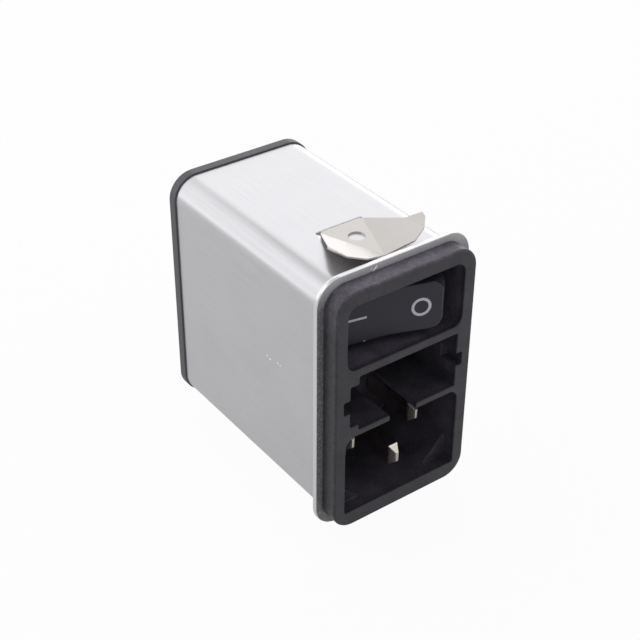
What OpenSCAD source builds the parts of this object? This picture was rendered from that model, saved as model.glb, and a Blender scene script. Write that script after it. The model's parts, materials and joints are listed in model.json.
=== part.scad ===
// Snap-in mains power entry module: rocker switch, fuse slot, three-pin inlet and line filter
// in a flanged metal can. X is the width, +Y points into the equipment, +Z is up.
// The origin is the centre of the flange's rear face, which seats on the panel.

/* [Can] */
// Thickness of the can's sheet
sheet_t = 1; // [0.6:0.1:1.2]
// Outside radius of the can's long corners
can_r = 4.5; // [3.6:0.1:5.5]
// How far the flange stands out past the can at the sides
flange_side = 1.3; // [0.8:0.1:2.4]
// How far the flange stands out past the can at the top and bottom
flange_top = 1.8; // [1:0.1:2.8]
// Outside radius of the flange's corners
flange_r = 4.7; // [4:0.1:6.5]
// Depth of the filter bay behind the front housing
bay_d = 27.3; // [25:0.1:40]

/* [Bezel] */
// How far the bezel stands out in front of the flange
bezel_p = 3.5; // [2.8:0.1:5]
// Width of flange that shows beside the bezel
bezel_side = 1.3; // [0.8:0.1:2]
// Height of flange that shows above and below the bezel
bezel_top = 1.2; // [0.8:0.1:2]
// Radius of the bezel's corners
bezel_r = 4.1; // [3:0.1:5.5]
// Radius of the bezel's front edge
bezel_edge = 0.4; // [0.2:0.1:1.4]

/* [Housing] */
// Gap between the housing and the can around it
housing_gap = 0.1; // [0.05:0.01:0.3]
// Thickness of the housing's wall above the switch recess
top_wall = 1; // [0.8:0.1:2]
// Thickness of the housing's wall under the inlet
bottom_wall = 1.4; // [1:0.1:2.5]
// Thickness of the housing's walls beside the inlet and the switch recess
side_wall = 1.2; // [0.9:0.1:2]
// Thickness of the housing's walls beside the latch notches
latch_wall = 0.7; // [0.5:0.1:1.4]
// Thickness of the rib between switch recess and fuse slot
upper_rib = 1.6; // [1.4:0.1:3]
// Thickness of the rib between fuse slot and inlet
lower_rib = 1.15; // [0.8:0.05:2]

/* [Switch recess] */
// Width of the switch recess
recess_w = 24; // [23.4:0.1:25.4]
// Height of the switch recess
recess_h = 12.4; // [11.6:0.1:15]
// Corner radius of the switch recess
recess_r = 1.9; // [0.5:0.1:3]
// Depth of the switch recess
recess_d = 11.1; // [10.8:0.1:14]
// Thickness of the recess floor
floor_t = 1.4; // [1:0.1:2]
// Width of the window in the recess floor
window_w = 9.2; // [8:0.1:12]
// Room above and below the plunger tubes in that window
window_gap = 0.3; // [0.2:0.05:0.6]
// Width of the switch chamber behind the floor
chamber_w = 20; // [16:0.1:22]
// Step from the recess to the switch chamber, above and below
chamber_step = 0.6; // [0.4:0.1:1]

/* [Rocker] */
// Length of the rocker's face
rocker_l = 18.6; // [17:0.1:20]
// Height of the rocker
rocker_h = 9.2; // [8.8:0.1:11]
// Distance from the pivot to the middle of the rocker's face
face_reach = 5.8; // [5:0.1:6.6]
// Angle of each half of the face to the rocker's length
face_vee = 4; // [0:0.5:8]
// Angle of the rocker to either side of its middle
rocker_tilt = 15.5; // [10:0.5:16]
// Radius of the rocker's end corners
rocker_round = 1.9; // [0.5:0.1:2.2]
// Height of the pivot above the recess floor
pivot_up = 2.6; // [2.4:0.1:3.4]
// Radius of the pivot pins
pivot_r = 1.3; // [1:0.1:1.6]
// Depth of the pivot pins in the recess walls
pivot_in = 0.85; // [0.6:0.05:0.95]
// Radial clearance of the pivot pins in their holes
pivot_gap = 0.05; // [0.02:0.01:0.1]
// Clearance at the ends of the pivot pins
pivot_end = 0.2; // [0.1:0.05:0.3]
// Half width of the rocker's hub
hub_x = 3; // [2.4:0.1:3.6]
// How far the hub reaches behind the pivot
hub_y = 1.2; // [0.8:0.1:1.6]
// Angle left between a pressed arm and the recess floor
arm_room = 6; // [3:0.5:10]

/* [Switch works] */
// Distance between the two poles
pole_pitch = 5.6; // [5.4:0.1:5.8]
// Radius of the rocker's plunger tubes
tube_r = 1.7; // [1.5:0.05:1.75]
// Length of the plunger tubes from the pivot
tube_l = 4.6; // [3.8:0.1:5]
// Radius of the plungers
plunger_r = 1.05; // [0.8:0.05:1.1]
// Radial clearance of the plungers in their tubes
plunger_gap = 0.1; // [0.05:0.01:0.2]
// Distance from the pivot to the plungers' tips
plunger_reach = 7.6; // [7:0.1:9]
// Length of the plungers
plunger_l = 4.6; // [3.6:0.1:5]
// Radius of the plunger springs' wire
spring_wire_r = 0.15; // [0.1:0.01:0.2]
// Turns of the plunger springs
spring_turns = 4; // [3:1:5]
// Gap at the ends of the plunger springs
spring_gap = 0.03; // [0.01:0.01:0.06]
// Distance from the pivot to the floor of the plunger tubes
tube_floor = 0.6; // [0.3:0.1:1]
// Gap between the plungers and the see-saw contacts at mid travel
contact_gap = 0.2; // [0.1:0.05:0.5]
// Length of the see-saw contacts
contact_l = 9.6; // [9:0.1:11]
// Width of the see-saw contacts
contact_w = 2.4; // [1.6:0.1:3]
// Thickness of the see-saw contacts
contact_t = 0.5; // [0.4:0.05:0.8]
// Angle of the see-saw contacts to either side of their middle
contact_tilt = 6; // [3:0.5:7]
// Radius of the round bead that the see-saw contacts turn on
bead_r = 0.5; // [0.4:0.05:0.7]
// Radial clearance of the bead in its cradle
bead_gap = 0.05; // [0.02:0.01:0.1]
// Distance of the fixed contacts from the middle
fixed_x = 4; // [3.4:0.1:4.2]
// Radius of the contact buttons
button_r = 0.8; // [0.5:0.1:1]
// Height of the contact buttons
button_h = 0.5; // [0.3:0.05:0.7]
// Gap left at the closed contacts
closed_gap = 0.06; // [0.03:0.01:0.1]
// Height of the cradles on the switch base
cradle_h = 1.9; // [1.7:0.1:3]
// Width of the cradles
cradle_w = 2.4; // [2:0.1:3]
// Thickness of the barrier between the poles
barrier_t = 0.8; // [0.6:0.1:1.2]
// Thickness of the switch base
base_t = 1.6; // [1.2:0.1:2.5]
// Gap around the switch base in its chamber
base_gap = 0.05; // [0.02:0.01:0.15]
// Length of the terminal tails behind the housing
tail_out = 2.6; // [2:0.1:4]
// Thickness of the terminal tails
tail_t = 0.8; // [0.6:0.1:1]
// Width of the terminal tails
tail_w = 1.6; // [1.2:0.1:1.8]

/* [Fuse slot] */
// Width of the fuse slot
slot_w = 22.6; // [22:0.1:23.2]
// Height of the fuse slot
slot_h = 11; // [10.6:0.1:13]
// Depth of the fuse slot
slot_d = 16.5; // [14:0.1:17.5]
// Width of the two keying corners of the slot
key_w = 1.8; // [0.8:0.1:2.4]
// Height of the upper keying corner
key_upper = 1.55; // [0.8:0.05:2]
// Height of the lower keying corner
key_lower = 1.2; // [0.8:0.05:2]
// How far the latch notches reach into the slot's sides
latch_in = 1.3; // [0.6:0.1:1.4]
// Height of the latch notches
latch_h = 2.6; // [1.6:0.1:4]
// Depth of the latch notches behind the front
latch_d = 4; // [2:0.1:6]
// Distance between the two fuses
fuse_pitch = 5.3; // [4.8:0.1:5.4]
// Distance of the fuse contacts' tails from the slot's sides
clip_in = 1.1; // [0.9:0.05:1.3]
// Width of the fuse contacts
clip_w = 3.6; // [2.4:0.1:4.2]
// Thickness of the fuse contacts
clip_t = 0.5; // [0.3:0.05:0.6]
// How far the fuse contacts reach forward from the slot's floor
clip_l = 5.6; // [5:0.1:6]
// Length of the fuse contacts' straight foot in the slot
clip_foot = 1.1; // [0.8:0.1:1.4]
// Length of the fuse contacts' bent front end
clip_lead = 1.1; // [0.8:0.1:1.6]
// Height of the fuse contacts' bulge
clip_bulge = 0.9; // [0.5:0.1:1.1]
// Gap between the fuse contacts and the keying corners in front of them
key_gap = 0.8; // [0.4:0.1:2]
// Width of the gap in the lower rib
rib_gap_w = 5.7; // [4:0.1:8]
// Depth of the gap in the lower rib
rib_gap_d = 13; // [4:0.1:14]

/* [Inlet] */
// Width of the inlet
inlet_w = 24.2; // [24:0.1:25]
// Height of the inlet
inlet_h = 16.25; // [16:0.05:18]
// Depth of the inlet
inlet_d = 17.5; // [16.5:0.1:18.5]
// Radius of the inlet's upper corners
inlet_r = 1.9; // [0.5:0.1:3]
// Legs of the inlet's lower corner slants
slant = 4.8; // [3:0.1:6]
// Depth at which the corner slants begin
slant_d = 2.65; // [1.5:0.05:6]
// Distance between the line and neutral pins
pin_pitch = 14; // [13.6:0.1:14.4]
// Height of the earth pin above the inlet's bottom
earth_up = 6.25; // [5.8:0.05:6.6]
// Height of the line and neutral pins above the earth pin
pin_offset = 4; // [3.6:0.1:4.2]
// Height of a pin's section
pin_h = 4; // [3.4:0.1:4.2]
// Thickness of a pin's section
pin_t = 2; // [1.6:0.1:2.2]
// Distance of the line and neutral pins' tips behind the front
pin_back = 4.6; // [4:0.1:6]
// Distance of the earth pin's tip behind the front
earth_back = 1; // [0.8:0.1:3]
// Length of the slanted tips of the pins
pin_nose = 1.4; // [0.6:0.1:2]
// How far each side of the tips slants in
pin_slant = 0.75; // [0.4:0.05:0.75]
// How far the top and bottom of the tips slant in
pin_drop = 1.1; // [0.4:0.1:1.4]

/* [Links and earth bond] */
// Thickness of the stamped links
link_t = 0.8; // [0.5:0.1:1]
// Width of the stamped links
link_w = 2.8; // [2.4:0.1:3]
// Width of the link beside the can's wall
edge_link_w = 1.5; // [1.2:0.1:1.6]
// Gap between the outer link and the can's wall
edge_link_gap = 0.4; // [0.3:0.05:0.6]
// Thickness of the earth strap
strap_t = 0.6; // [0.4:0.1:1]
// Width of the earth strap
strap_w = 3.4; // [3:0.1:4]
// Distance of the earth strap's foot from the middle
strap_x = 7.5; // [7:0.1:9]
// Length of the earth strap's foot
strap_l = 8; // [6:0.1:10]
// Radius of the earth rivet's shank
rivet_r = 1; // [0.8:0.1:1.2]
// Radius of the earth rivet's heads
rivet_head_r = 1.6; // [1.3:0.1:1.7]
// Height of the earth rivet's heads
rivet_head_h = 0.5; // [0.3:0.1:0.8]

/* [Spring clips] */
// Thickness of the spring sheet
spring_t = 0.3; // [0.2:0.05:0.5]
// Width of the clip's rear edge
spring_w = 8.7; // [7:0.1:10]
// Distance of the clip's rear edge from the flange
spring_l = 13.6; // [12:0.1:15]
// Distance of the point where the folds meet from the flange
fold_y = 2; // [1.5:0.1:3]
// Angle of the wings to the can
wing_tilt = 20.3; // [10:0.1:28]
// Extra angle of the wing tips
tip_bend = 18; // [0:1:30]
// Reach of the wing tips from the middle
wing_x = 9.7; // [9:0.1:11]
// How far the wing tips' front corners stand back from that reach
tip_taper = 0.4; // [0.2:0.1:0.8]
// Reach of the wings' bend lines from the middle
bend_x = 7.85; // [7:0.05:8.6]
// Distance of the wing tips' rear corners from the flange
tip_rear = 4.5; // [4:0.1:5.5]
// Distance of the wing tips' front corners from the flange
tip_front = 3.2; // [2.6:0.1:3.8]
// Distance of the bend lines' rear ends from the flange
bend_rear = 6.7; // [6:0.1:8]
// Distance of the bend lines' front ends from the flange
bend_front = 1.6; // [1.2:0.1:2.4]
// Distance of the wings' front corners from the flange
wing_front = 0.35; // [0.3:0.05:0.8]
// Reach of the wings' front corners from the middle
wing_front_x = 4.9; // [4:0.1:6]
// Radius of the hole in the clip
spring_hole_r = 1.45; // [1:0.05:1.6]
// Distance of the hole from the flange
spring_hole_y = 9.4; // [8.8:0.1:10]
// Length of the clip's tongue inside the can
tongue_l = 1.6; // [1:0.1:2]
// Width of the slits that take the tongues
slit_w = 0.9; // [0.6:0.05:1.2]
// Side gap of the tongues in the slits
slit_gap = 0.25; // [0.1:0.05:0.4]
// Room around the tongues in the housing
tongue_room = 0.3; // [0.2:0.05:0.5]

/* [Rear cover and tabs] */
// Thickness of the rear cover
cover_t = 1.8; // [1.6:0.1:3]
// How far the rear cover stands out past the can
cover_lip = 0.3; // [0.1:0.05:0.8]
// Depth of the cover's rim inside the can
rim_d = 3.2; // [2.4:0.1:4]
// Thickness of the cover's rim
rim_t = 1.2; // [0.8:0.1:1.6]
// Gap between the rim or the board and the can
rim_gap = 0.15; // [0.05:0.05:0.3]
// Width of the rear tabs
tab_w = 6.3; // [4.8:0.1:6.6]
// Thickness of the rear tabs
tab_t = 0.8; // [0.5:0.1:1]
// Length of the rear tabs behind the cover
tab_l = 8; // [6:0.1:9]
// Radius of the hole in the rear tabs
tab_hole_r = 0.8; // [0.5:0.05:1]
// Width of the tabs' legs in the cover and the board
tab_leg_w = 3.2; // [2.4:0.1:4]
// Distance between the line and neutral tabs
tab_pitch = 11; // [10:0.1:12.4]
// Height of the line and neutral tabs
tab_z = 10; // [9.4:0.1:12]
// Height of the earth tab
earth_tab_z = -10; // [-13:0.1:-8]

/* [Filter] */
// Thickness of the filter board
board_t = 1.6; // [1:0.1:2]
// Outside radius of the choke's core
core_r = 7.5; // [7:0.1:7.8]
// Radius of the core's hole
core_hole_r = 3.8; // [3.6:0.1:4]
// Height of the core
core_h = 7; // [5:0.1:8]
// Edge radius of the core's section
core_edge = 1.2; // [0.8:0.1:1.6]
// Radius of the winding wire
wire_r = 0.45; // [0.3:0.05:0.5]
// Gap between winding and core
wire_gap = 0.15; // [0.1:0.05:0.3]
// Turns of each winding
turns = 8; // [4:1:8]
// Height of the choke's middle
choke_z = -10.5; // [-12:0.1:-10]
// Angle around the core that each winding takes
winding_span = 150; // [120:5:160]
// Width of the mains capacitor
cap_w = 17; // [12:0.1:20]
// Height of the mains capacitor
cap_h = 6.6; // [5:0.1:7]
// Radius of the mains capacitor's corners
cap_r = 0.8; // [0.4:0.1:1.5]
// Depth of the mains capacitor
cap_d = 11; // [8:0.1:14]
// Height of the mains capacitor's lower face
cap_z = 1.2; // [0.6:0.1:2]
// Radius of the earth capacitors
disc_r = 3.6; // [3:0.1:4]
// Thickness of the earth capacitors
disc_t = 3; // [2:0.1:3.6]
// Distance of the earth capacitors from the can's sides
disc_in = 4.2; // [3.6:0.1:4.8]
// Height of the earth capacitors
disc_z = 15; // [14.6:0.1:16]
// Distance of the earth capacitors from the board
disc_up = 2.4; // [1:0.1:4]
// Radius of component legs
leg_r = 0.3; // [0.2:0.05:0.4]
// Length of the bleed resistor's body
resistor_l = 6; // [4:0.1:6.5]
// Radius of the bleed resistor's body
resistor_r = 1.1; // [0.8:0.1:1.4]
// Distance of the bleed resistor from the middle
resistor_x = -4; // [-4.5:0.1:-3.6]
// Height of the bleed resistor
resistor_z = 18.6; // [17:0.1:19]
// Radius of the leads
lead_r = 0.7; // [0.5:0.05:0.8]

/* [Hidden] */
$fn = 48;
// Overshoot of cuts past the faces that they open
over = 1;
// Widths, from the inlet outwards
body_w = max(max(inlet_w, recess_w) + 2 * side_wall, slot_w + 2 * (latch_in + latch_wall));
inner_w = body_w + 2 * housing_gap;
can_w = inner_w + 2 * sheet_t;
flange_w = can_w + 2 * flange_side;
bezel_w = flange_w - 2 * bezel_side;
// Heights, from the openings outwards
body_h = bottom_wall + inlet_h + lower_rib + slot_h + upper_rib + recess_h + top_wall;
inner_h = body_h + 2 * housing_gap;
can_h = inner_h + 2 * sheet_t;
flange_h = can_h + 2 * flange_top;
bezel_h = flange_h - 2 * bezel_top;
inner_r = can_r - sheet_t;
body_r = inner_r - housing_gap;
// Heights of the openings
inlet_z0 = -body_h / 2 + bottom_wall;
inlet_z1 = inlet_z0 + inlet_h;
slot_z0 = inlet_z1 + lower_rib;
slot_z1 = slot_z0 + slot_h;
recess_z0 = slot_z1 + upper_rib;
recess_zc = recess_z0 + recess_h / 2;
slot_zc = (slot_z0 + slot_z1) / 2;
// Depths, from the front to the back
front_y = -sheet_t - bezel_p;
recess_y = front_y + recess_d;
slot_y = front_y + slot_d;
inlet_y = front_y + inlet_d;
chamber_y = recess_y + floor_t;
pivot_y = recess_y - pivot_up;
bead_y = pivot_y + plunger_reach + contact_gap + contact_t + bead_r / 2;
base_y = bead_y + cradle_h;
housing_d = base_y + base_t;
can_d = housing_d + bay_d;
board_y1 = can_d - rim_d;
board_y0 = board_y1 - board_t;
tail_y = housing_d + tail_out;
// Rocker: radius of the ends about the pivot, and the slope of the arms' rear faces
end_x = rocker_l / 2;
end_y = face_reach + end_x * tan(face_vee);
rocker_r = norm([end_x, end_y]);
arm_y = hub_y - (rocker_r - hub_x) * tan(rocker_tilt + arm_room);
window_h = pole_pitch + 2 * (tube_r + window_gap);
chamber_h = recess_h - 2 * chamber_step;
tube_bore_r = plunger_r + plunger_gap;
plunger_back = plunger_reach - plunger_l;
spring_r = tube_bore_r - spring_wire_r - plunger_gap;
line_pole = recess_zc - pole_pitch / 2;
neutral_pole = recess_zc + pole_pitch / 2;
// Fuses, pins and links
clip_x = slot_w / 2 - clip_in;
line_fuse = slot_zc - fuse_pitch / 2;
neutral_fuse = slot_zc + fuse_pitch / 2;
earth_z = inlet_z0 + earth_up;
pin_z = earth_z + pin_offset;
pin_x = pin_pitch / 2;
edge_x = inner_w / 2 - edge_link_gap;
strap_z = earth_z - pin_h;
rivet_y = housing_d + strap_l / 2 + strap_t;
// Spring clips
can_top = can_h / 2;
tongue_w = spring_w - 2 * slit_gap;
// Choke
core_mid = (core_r + core_hole_r) / 2;
wire_a = (core_r - core_hole_r) / 2 + wire_gap + wire_r;
wire_b = core_h / 2 + wire_gap + wire_r;
choke_y = board_y0 - wire_b - wire_r - wire_gap;
disc_x = inner_w / 2 - disc_in;
wire_steps = 16;
sides = 8;

// Shared shapes

function unit(v) = v / norm(v);

// Rounded rectangle about the origin
module rounded(w, h, r) {
    square([w - 2 * r, h], center = true);
    square([w, h - 2 * r], center = true);
    for (sx = [-1, 1], sy = [-1, 1])
        translate([sx * (w / 2 - r), sy * (h / 2 - r)]) circle(r);
}

// Extrusions of a flat shape: drawn in x and z, in y and z, and in x and y
module along_y(y0, y1) {
    translate([0, y1, 0]) rotate([90, 0, 0]) linear_extrude(y1 - y0) children();
}

module along_x(x0, x1) {
    translate([x0, 0, 0]) rotate([90, 0, 90]) linear_extrude(x1 - x0) children();
}

module along_z(z0, z1) {
    translate([0, 0, z0]) linear_extrude(z1 - z0) children();
}

module slab(w, h, r, y0, y1) {
    along_y(y0, y1) rounded(w, h, r);
}

module block(x0, x1, y0, y1, z0, z1) {
    translate([x0, y0, z0]) cube([x1 - x0, y1 - y0, z1 - z0]);
}

// Round bar along y
module bar(x, z, r, y0, y1) {
    translate([x, y1, z]) rotate([90, 0, 0]) cylinder(r = r, h = y1 - y0);
}

// Front layer of a plate with its outer edge rounded: section in y and one other axis
module edge_section(half, e, y0) {
    translate([y0, e - half]) square([e, 2 * (half - e)]);
    for (s = [-1, 1])
        intersection() {
            translate([y0 + e, s * (half - e)]) circle(e);
            translate([y0, s > 0 ? half - e : -half]) square([e, e]);
        }
}

// Plate with rounded corners and a rounded front edge
module soft_slab(w, h, r, e, y0, y1) {
    slab(w, h, r, y0 + e, y1);
    along_x(r - w / 2, w / 2 - r) edge_section(h / 2, e, y0);
    along_z(r - h / 2, h / 2 - r) rotate(90) edge_section(w / 2, e, y0);
    for (turn = [0 : 3])
        translate([(turn == 0 || turn == 3 ? 1 : -1) * (w / 2 - r), y0 + e,
            (turn < 2 ? 1 : -1) * (h / 2 - r)])
            rotate([90, 0, 0]) rotate(90 * turn) rotate_extrude(angle = 90) corner_section(r, e);
}

module corner_section(r, e) {
    square([r - e, e]);
    intersection() {
        translate([r - e, 0]) circle(e);
        translate([r - e, 0]) square([e, e]);
    }
}

// Round wire along a list of points, with a reference direction at each point
module wire(path, refs, r) {
    count = len(path);
    rings = [for (i = [0 : count - 1])
        let (along = unit(path[min(i + 1, count - 1)] - path[max(i - 1, 0)]),
            side = unit(cross(along, refs[i])),
            up = cross(side, along))
        for (k = [0 : sides - 1])
            path[i] + r * (cos(360 * k / sides) * side + sin(360 * k / sides) * up)];
    walls = [for (i = [0 : count - 2], k = [0 : sides - 1])
        [i * sides + k, i * sides + (k + 1) % sides,
            (i + 1) * sides + (k + 1) % sides, (i + 1) * sides + k]];
    first = [for (k = [sides - 1 : -1 : 0]) k];
    last = [for (k = [0 : sides - 1]) (count - 1) * sides + k];
    polyhedron(rings, concat([first], walls, [last]));
}

// Outline of a strip of even thickness along a bent path
function path_dir(path, i) =
    let (count = len(path),
        into = i > 0 ? unit(path[i] - path[i - 1]) : unit(path[1] - path[0]),
        out = i < count - 1 ? unit(path[i + 1] - path[i]) : into)
    unit(into + out);

function strip_side(path, half) = [for (i = [0 : len(path) - 1])
    let (d = path_dir(path, i)) path[i] + half * [-d[1], d[0]]];

function reversed(list) = [for (i = [len(list) - 1 : -1 : 0]) list[i]];

module strip(path, t) {
    polygon(concat(strip_side(path, t / 2), reversed(strip_side(path, -t / 2))));
}

// Casing

module can() {
    color("#b9bbbe")
        difference() {
            union() {
                slab(can_w, can_h, can_r, -sheet_t, can_d);
                slab(flange_w, flange_h, flange_r, -sheet_t, 0);
            }
            slab(inner_w, inner_h, inner_r, -sheet_t - over, can_d + over);
            for (side = [0, 1]) mirror([0, 0, side]) slit();
            translate([strap_x, rivet_y, -can_top - over]) cylinder(r = rivet_r, h = sheet_t + 2 * over);
        }
}

// Slit in the can's top for the spring clip's tongue, with round ends
module slit() {
    along_z(can_top - sheet_t - over, can_top + over)
        translate([0, spring_l + slit_w / 2]) {
            square([spring_w, slit_w], center = true);
            for (s = [-1, 1]) translate([s * spring_w / 2, 0]) circle(slit_w / 2);
        }
}

module front_housing() {
    color("#2a292d")
        difference() {
            union() {
                soft_slab(bezel_w, bezel_h, bezel_r, bezel_edge, front_y, -sheet_t);
                slab(body_w, body_h, body_r, front_y + bezel_edge, housing_d);
            }
            switch_cuts();
            fuse_cuts();
            inlet_cuts();
            for (side = [0, 1]) mirror([0, 0, side]) tongue_cut();
        }
}

module switch_cuts() {
    along_y(front_y - over, recess_y) translate([0, recess_zc]) rounded(recess_w, recess_h, recess_r);
    block(-window_w / 2, window_w / 2, recess_y - over, chamber_y + over,
        recess_zc - window_h / 2, recess_zc + window_h / 2);
    block(-chamber_w / 2, chamber_w / 2, chamber_y, housing_d + over,
        recess_zc - chamber_h / 2, recess_zc + chamber_h / 2);
    pivot_hole = recess_h / 2 + pivot_in + pivot_end;
    translate([0, pivot_y, recess_zc - pivot_hole])
        cylinder(r = pivot_r + pivot_gap, h = 2 * pivot_hole);
}

module slot_outline() {
    difference() {
        translate([-slot_w / 2, slot_z0]) square([slot_w, slot_h]);
        translate([-slot_w / 2 - over, slot_z1 - key_upper]) square([key_w + over, key_upper + over]);
        translate([-slot_w / 2 - over, slot_z0 - over]) square([key_w + over, key_lower + over]);
    }
}

module fuse_cuts() {
    along_y(front_y - over, slot_y) slot_outline();
    block(-slot_w / 2, slot_w / 2, slot_y - clip_l - key_gap, slot_y, slot_z0, slot_z1);
    along_y(front_y - over, front_y + latch_d)
        translate([0, slot_zc]) square([slot_w + 2 * latch_in, latch_h], center = true);
    block(-rib_gap_w / 2, rib_gap_w / 2, front_y - over, front_y + rib_gap_d,
        inlet_z1 - over, slot_z0 + over);
    for (s = [-1, 1], z = [line_fuse, neutral_fuse])
        block(s * clip_x - clip_t / 2, s * clip_x + clip_t / 2, slot_y - over, housing_d + over,
            z - clip_w / 2, z + clip_w / 2);
}

module inlet_outline() {
    translate([0, (inlet_z0 + inlet_z1) / 2]) rounded(inlet_w, inlet_h, inlet_r);
    translate([-inlet_w / 2, inlet_z0]) square([inlet_w, inlet_h / 2]);
}

module slanted_outline() {
    difference() {
        inlet_outline();
        for (s = [-1, 1])
            translate([s * inlet_w / 2, inlet_z0]) polygon([[0, 0], [-s * slant, 0], [0, slant]]);
    }
}

module inlet_cuts() {
    along_y(front_y - over, front_y + slant_d) inlet_outline();
    along_y(front_y - over, inlet_y) slanted_outline();
    for (pin = [[-pin_x, pin_z], [pin_x, pin_z], [0, earth_z]])
        block(pin[0] - pin_t / 2, pin[0] + pin_t / 2, inlet_y - over, housing_d + over,
            pin[1] - pin_h / 2, pin[1] + pin_h / 2);
}

// Room for the spring clip's tongue above the housing
module tongue_cut() {
    block(-tongue_w / 2 - tongue_room, tongue_w / 2 + tongue_room,
        spring_l - tongue_room, housing_d + over,
        inner_h / 2 - spring_t - tongue_room, inner_h / 2 + over);
}

module rear_cover() {
    rim_w = inner_w - 2 * rim_gap;
    rim_h = inner_h - 2 * rim_gap;
    rim_r = inner_r - rim_gap;
    color("#232326")
        difference() {
            union() {
                slab(can_w + 2 * cover_lip, can_h + 2 * cover_lip, can_r + cover_lip,
                    can_d, can_d + cover_t);
                difference() {
                    slab(rim_w, rim_h, rim_r, board_y1, can_d + cover_t / 2);
                    slab(rim_w - 2 * rim_t, rim_h - 2 * rim_t, rim_r - rim_t,
                        board_y1 - over, can_d);
                }
            }
            for (tab = [[-tab_pitch / 2, tab_z], [tab_pitch / 2, tab_z], [0, earth_tab_z]])
                block(tab[0] - tab_leg_w / 2, tab[0] + tab_leg_w / 2, can_d - over,
                    can_d + cover_t + over, tab[1] - tab_t / 2, tab[1] + tab_t / 2);
        }
}

// Spring clips

// Height of the wings' upper face at a point, from the fold line and the bend line
function wing_z(x, y) =
    let (fold = unit([spring_w / 2, spring_l - fold_y]),
        out = abs(x) * fold[1] - (y - fold_y) * fold[0],
        past = max(0, abs(x) - bend_x))
    can_top + spring_t + max(0, out) * tan(wing_tilt) + past * tan(tip_bend);

// Plan points of the right-hand half, from the rear corner round to the fold point
half_plan = [[spring_w / 2, spring_l], [bend_x, bend_rear], [wing_x, tip_rear],
    [wing_x - tip_taper, tip_front], [bend_x, bend_front], [wing_front_x, wing_front], [0, fold_y]];

module wings() {
    count = len(half_plan);
    right = [for (p = half_plan) [p[0], p[1], wing_z(p[0], p[1])]];
    left = [for (i = [0 : count - 2]) [-right[i][0], right[i][1], right[i][2]]];
    upper = concat(right, left);
    total = len(upper);
    lower = [for (p = upper) p - [0, 0, spring_t]];
    top = [[0, 6, count], [0, 1, 4, 5, 6], [1, 2, 3, 4],
        [count, 6, count + 5, count + 4, count + 1], [count + 1, count + 4, count + 3, count + 2]];
    loop = concat([for (i = [0 : count - 1]) i], [for (i = [count - 2 : -1 : 0]) count + i]);
    rim = [for (i = [0 : total - 1])
        let (a = loop[i], b = loop[(i + 1) % total]) [b, a, a + total, b + total]];
    polyhedron(concat(upper, lower),
        concat(top, [for (f = top) [for (k = reversed(f)) k + total]], rim));
}

module spring_clip() {
    color("#cfcac4")
        difference() {
            union() {
                wings();
                block(-tongue_w / 2, tongue_w / 2, spring_l - over, spring_l + spring_t,
                    can_top, can_top + spring_t);
                block(-tongue_w / 2, tongue_w / 2, spring_l, spring_l + spring_t,
                    inner_h / 2 - spring_t, can_top + spring_t);
                block(-tongue_w / 2, tongue_w / 2, spring_l, spring_l + spring_t + tongue_l,
                    inner_h / 2 - spring_t, inner_h / 2);
            }
            translate([0, spring_hole_y, can_top - over])
                cylinder(r = spring_hole_r, h = spring_t + 2 * over);
        }
}

module top_spring_clip() {
    spring_clip();
}

module bottom_spring_clip() {
    mirror([0, 0, 1]) spring_clip();
}

// Switch

module at_pivot(turn) {
    translate([0, pivot_y, recess_zc]) rotate(turn) children();
}

module end_section() {
    half = rocker_h / 2;
    translate([0, -half]) square([rocker_r - rocker_round, rocker_h]);
    translate([0, rocker_round - half]) square([rocker_r, rocker_h - 2 * rocker_round]);
    for (s = [-1, 1]) translate([rocker_r - rocker_round, s * (half - rocker_round)]) circle(rocker_round);
}

module rocker_plan() {
    x = rocker_r + over;
    y = -face_reach - x * tan(face_vee);
    rear = arm_y - over * tan(rocker_tilt + arm_room);
    polygon([[-x, y], [0, -face_reach], [x, y], [x, rear], [hub_x, hub_y], [-hub_x, hub_y], [-x, rear]]);
}

module rocker() {
    half = rocker_h / 2;
    pin_half = recess_h / 2 + pivot_in;
    color("#29282c")
        at_pivot(-rocker_tilt)
            difference() {
                union() {
                    intersection() {
                        rotate_extrude() end_section();
                        along_z(-half, half) rocker_plan();
                    }
                    translate([0, 0, -pin_half]) cylinder(r = pivot_r, h = 2 * pin_half);
                    for (s = [-1, 1]) bar(0, s * pole_pitch / 2, tube_r, 0, tube_l);
                }
                for (s = [-1, 1]) bar(0, s * pole_pitch / 2, tube_bore_r, tube_floor, tube_l + over);
            }
}

module plunger(pole) {
    color("#d8d6cf")
        at_pivot(-rocker_tilt)
            translate([0, plunger_back, pole - recess_zc])
                rotate([-90, 0, 0])
                    rotate_extrude() {
                        square([plunger_r, plunger_l - plunger_r]);
                        intersection() {
                            translate([0, plunger_l - plunger_r]) circle(plunger_r);
                            translate([0, plunger_l - plunger_r]) square(plunger_r);
                        }
                    }
}

module line_plunger() {
    plunger(line_pole);
}

module neutral_plunger() {
    plunger(neutral_pole);
}

// Coil spring between the tube's floor and the plunger
module plunger_spring(pole) {
    steps = spring_turns * 12;
    gap = spring_wire_r + spring_gap;
    y0 = tube_floor + gap;
    y1 = plunger_back - gap;
    path = [for (i = [0 : steps])
        [spring_r * cos(30 * i), y0 + (y1 - y0) * i / steps, spring_r * sin(30 * i)]];
    color("#b8b8ba")
        at_pivot(-rocker_tilt)
            translate([0, 0, pole - recess_zc]) wire(path, [for (p = path) [0, 1, 0]], spring_wire_r);
}

module line_spring() {
    plunger_spring(line_pole);
}

module neutral_spring() {
    plunger_spring(neutral_pole);
}

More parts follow.
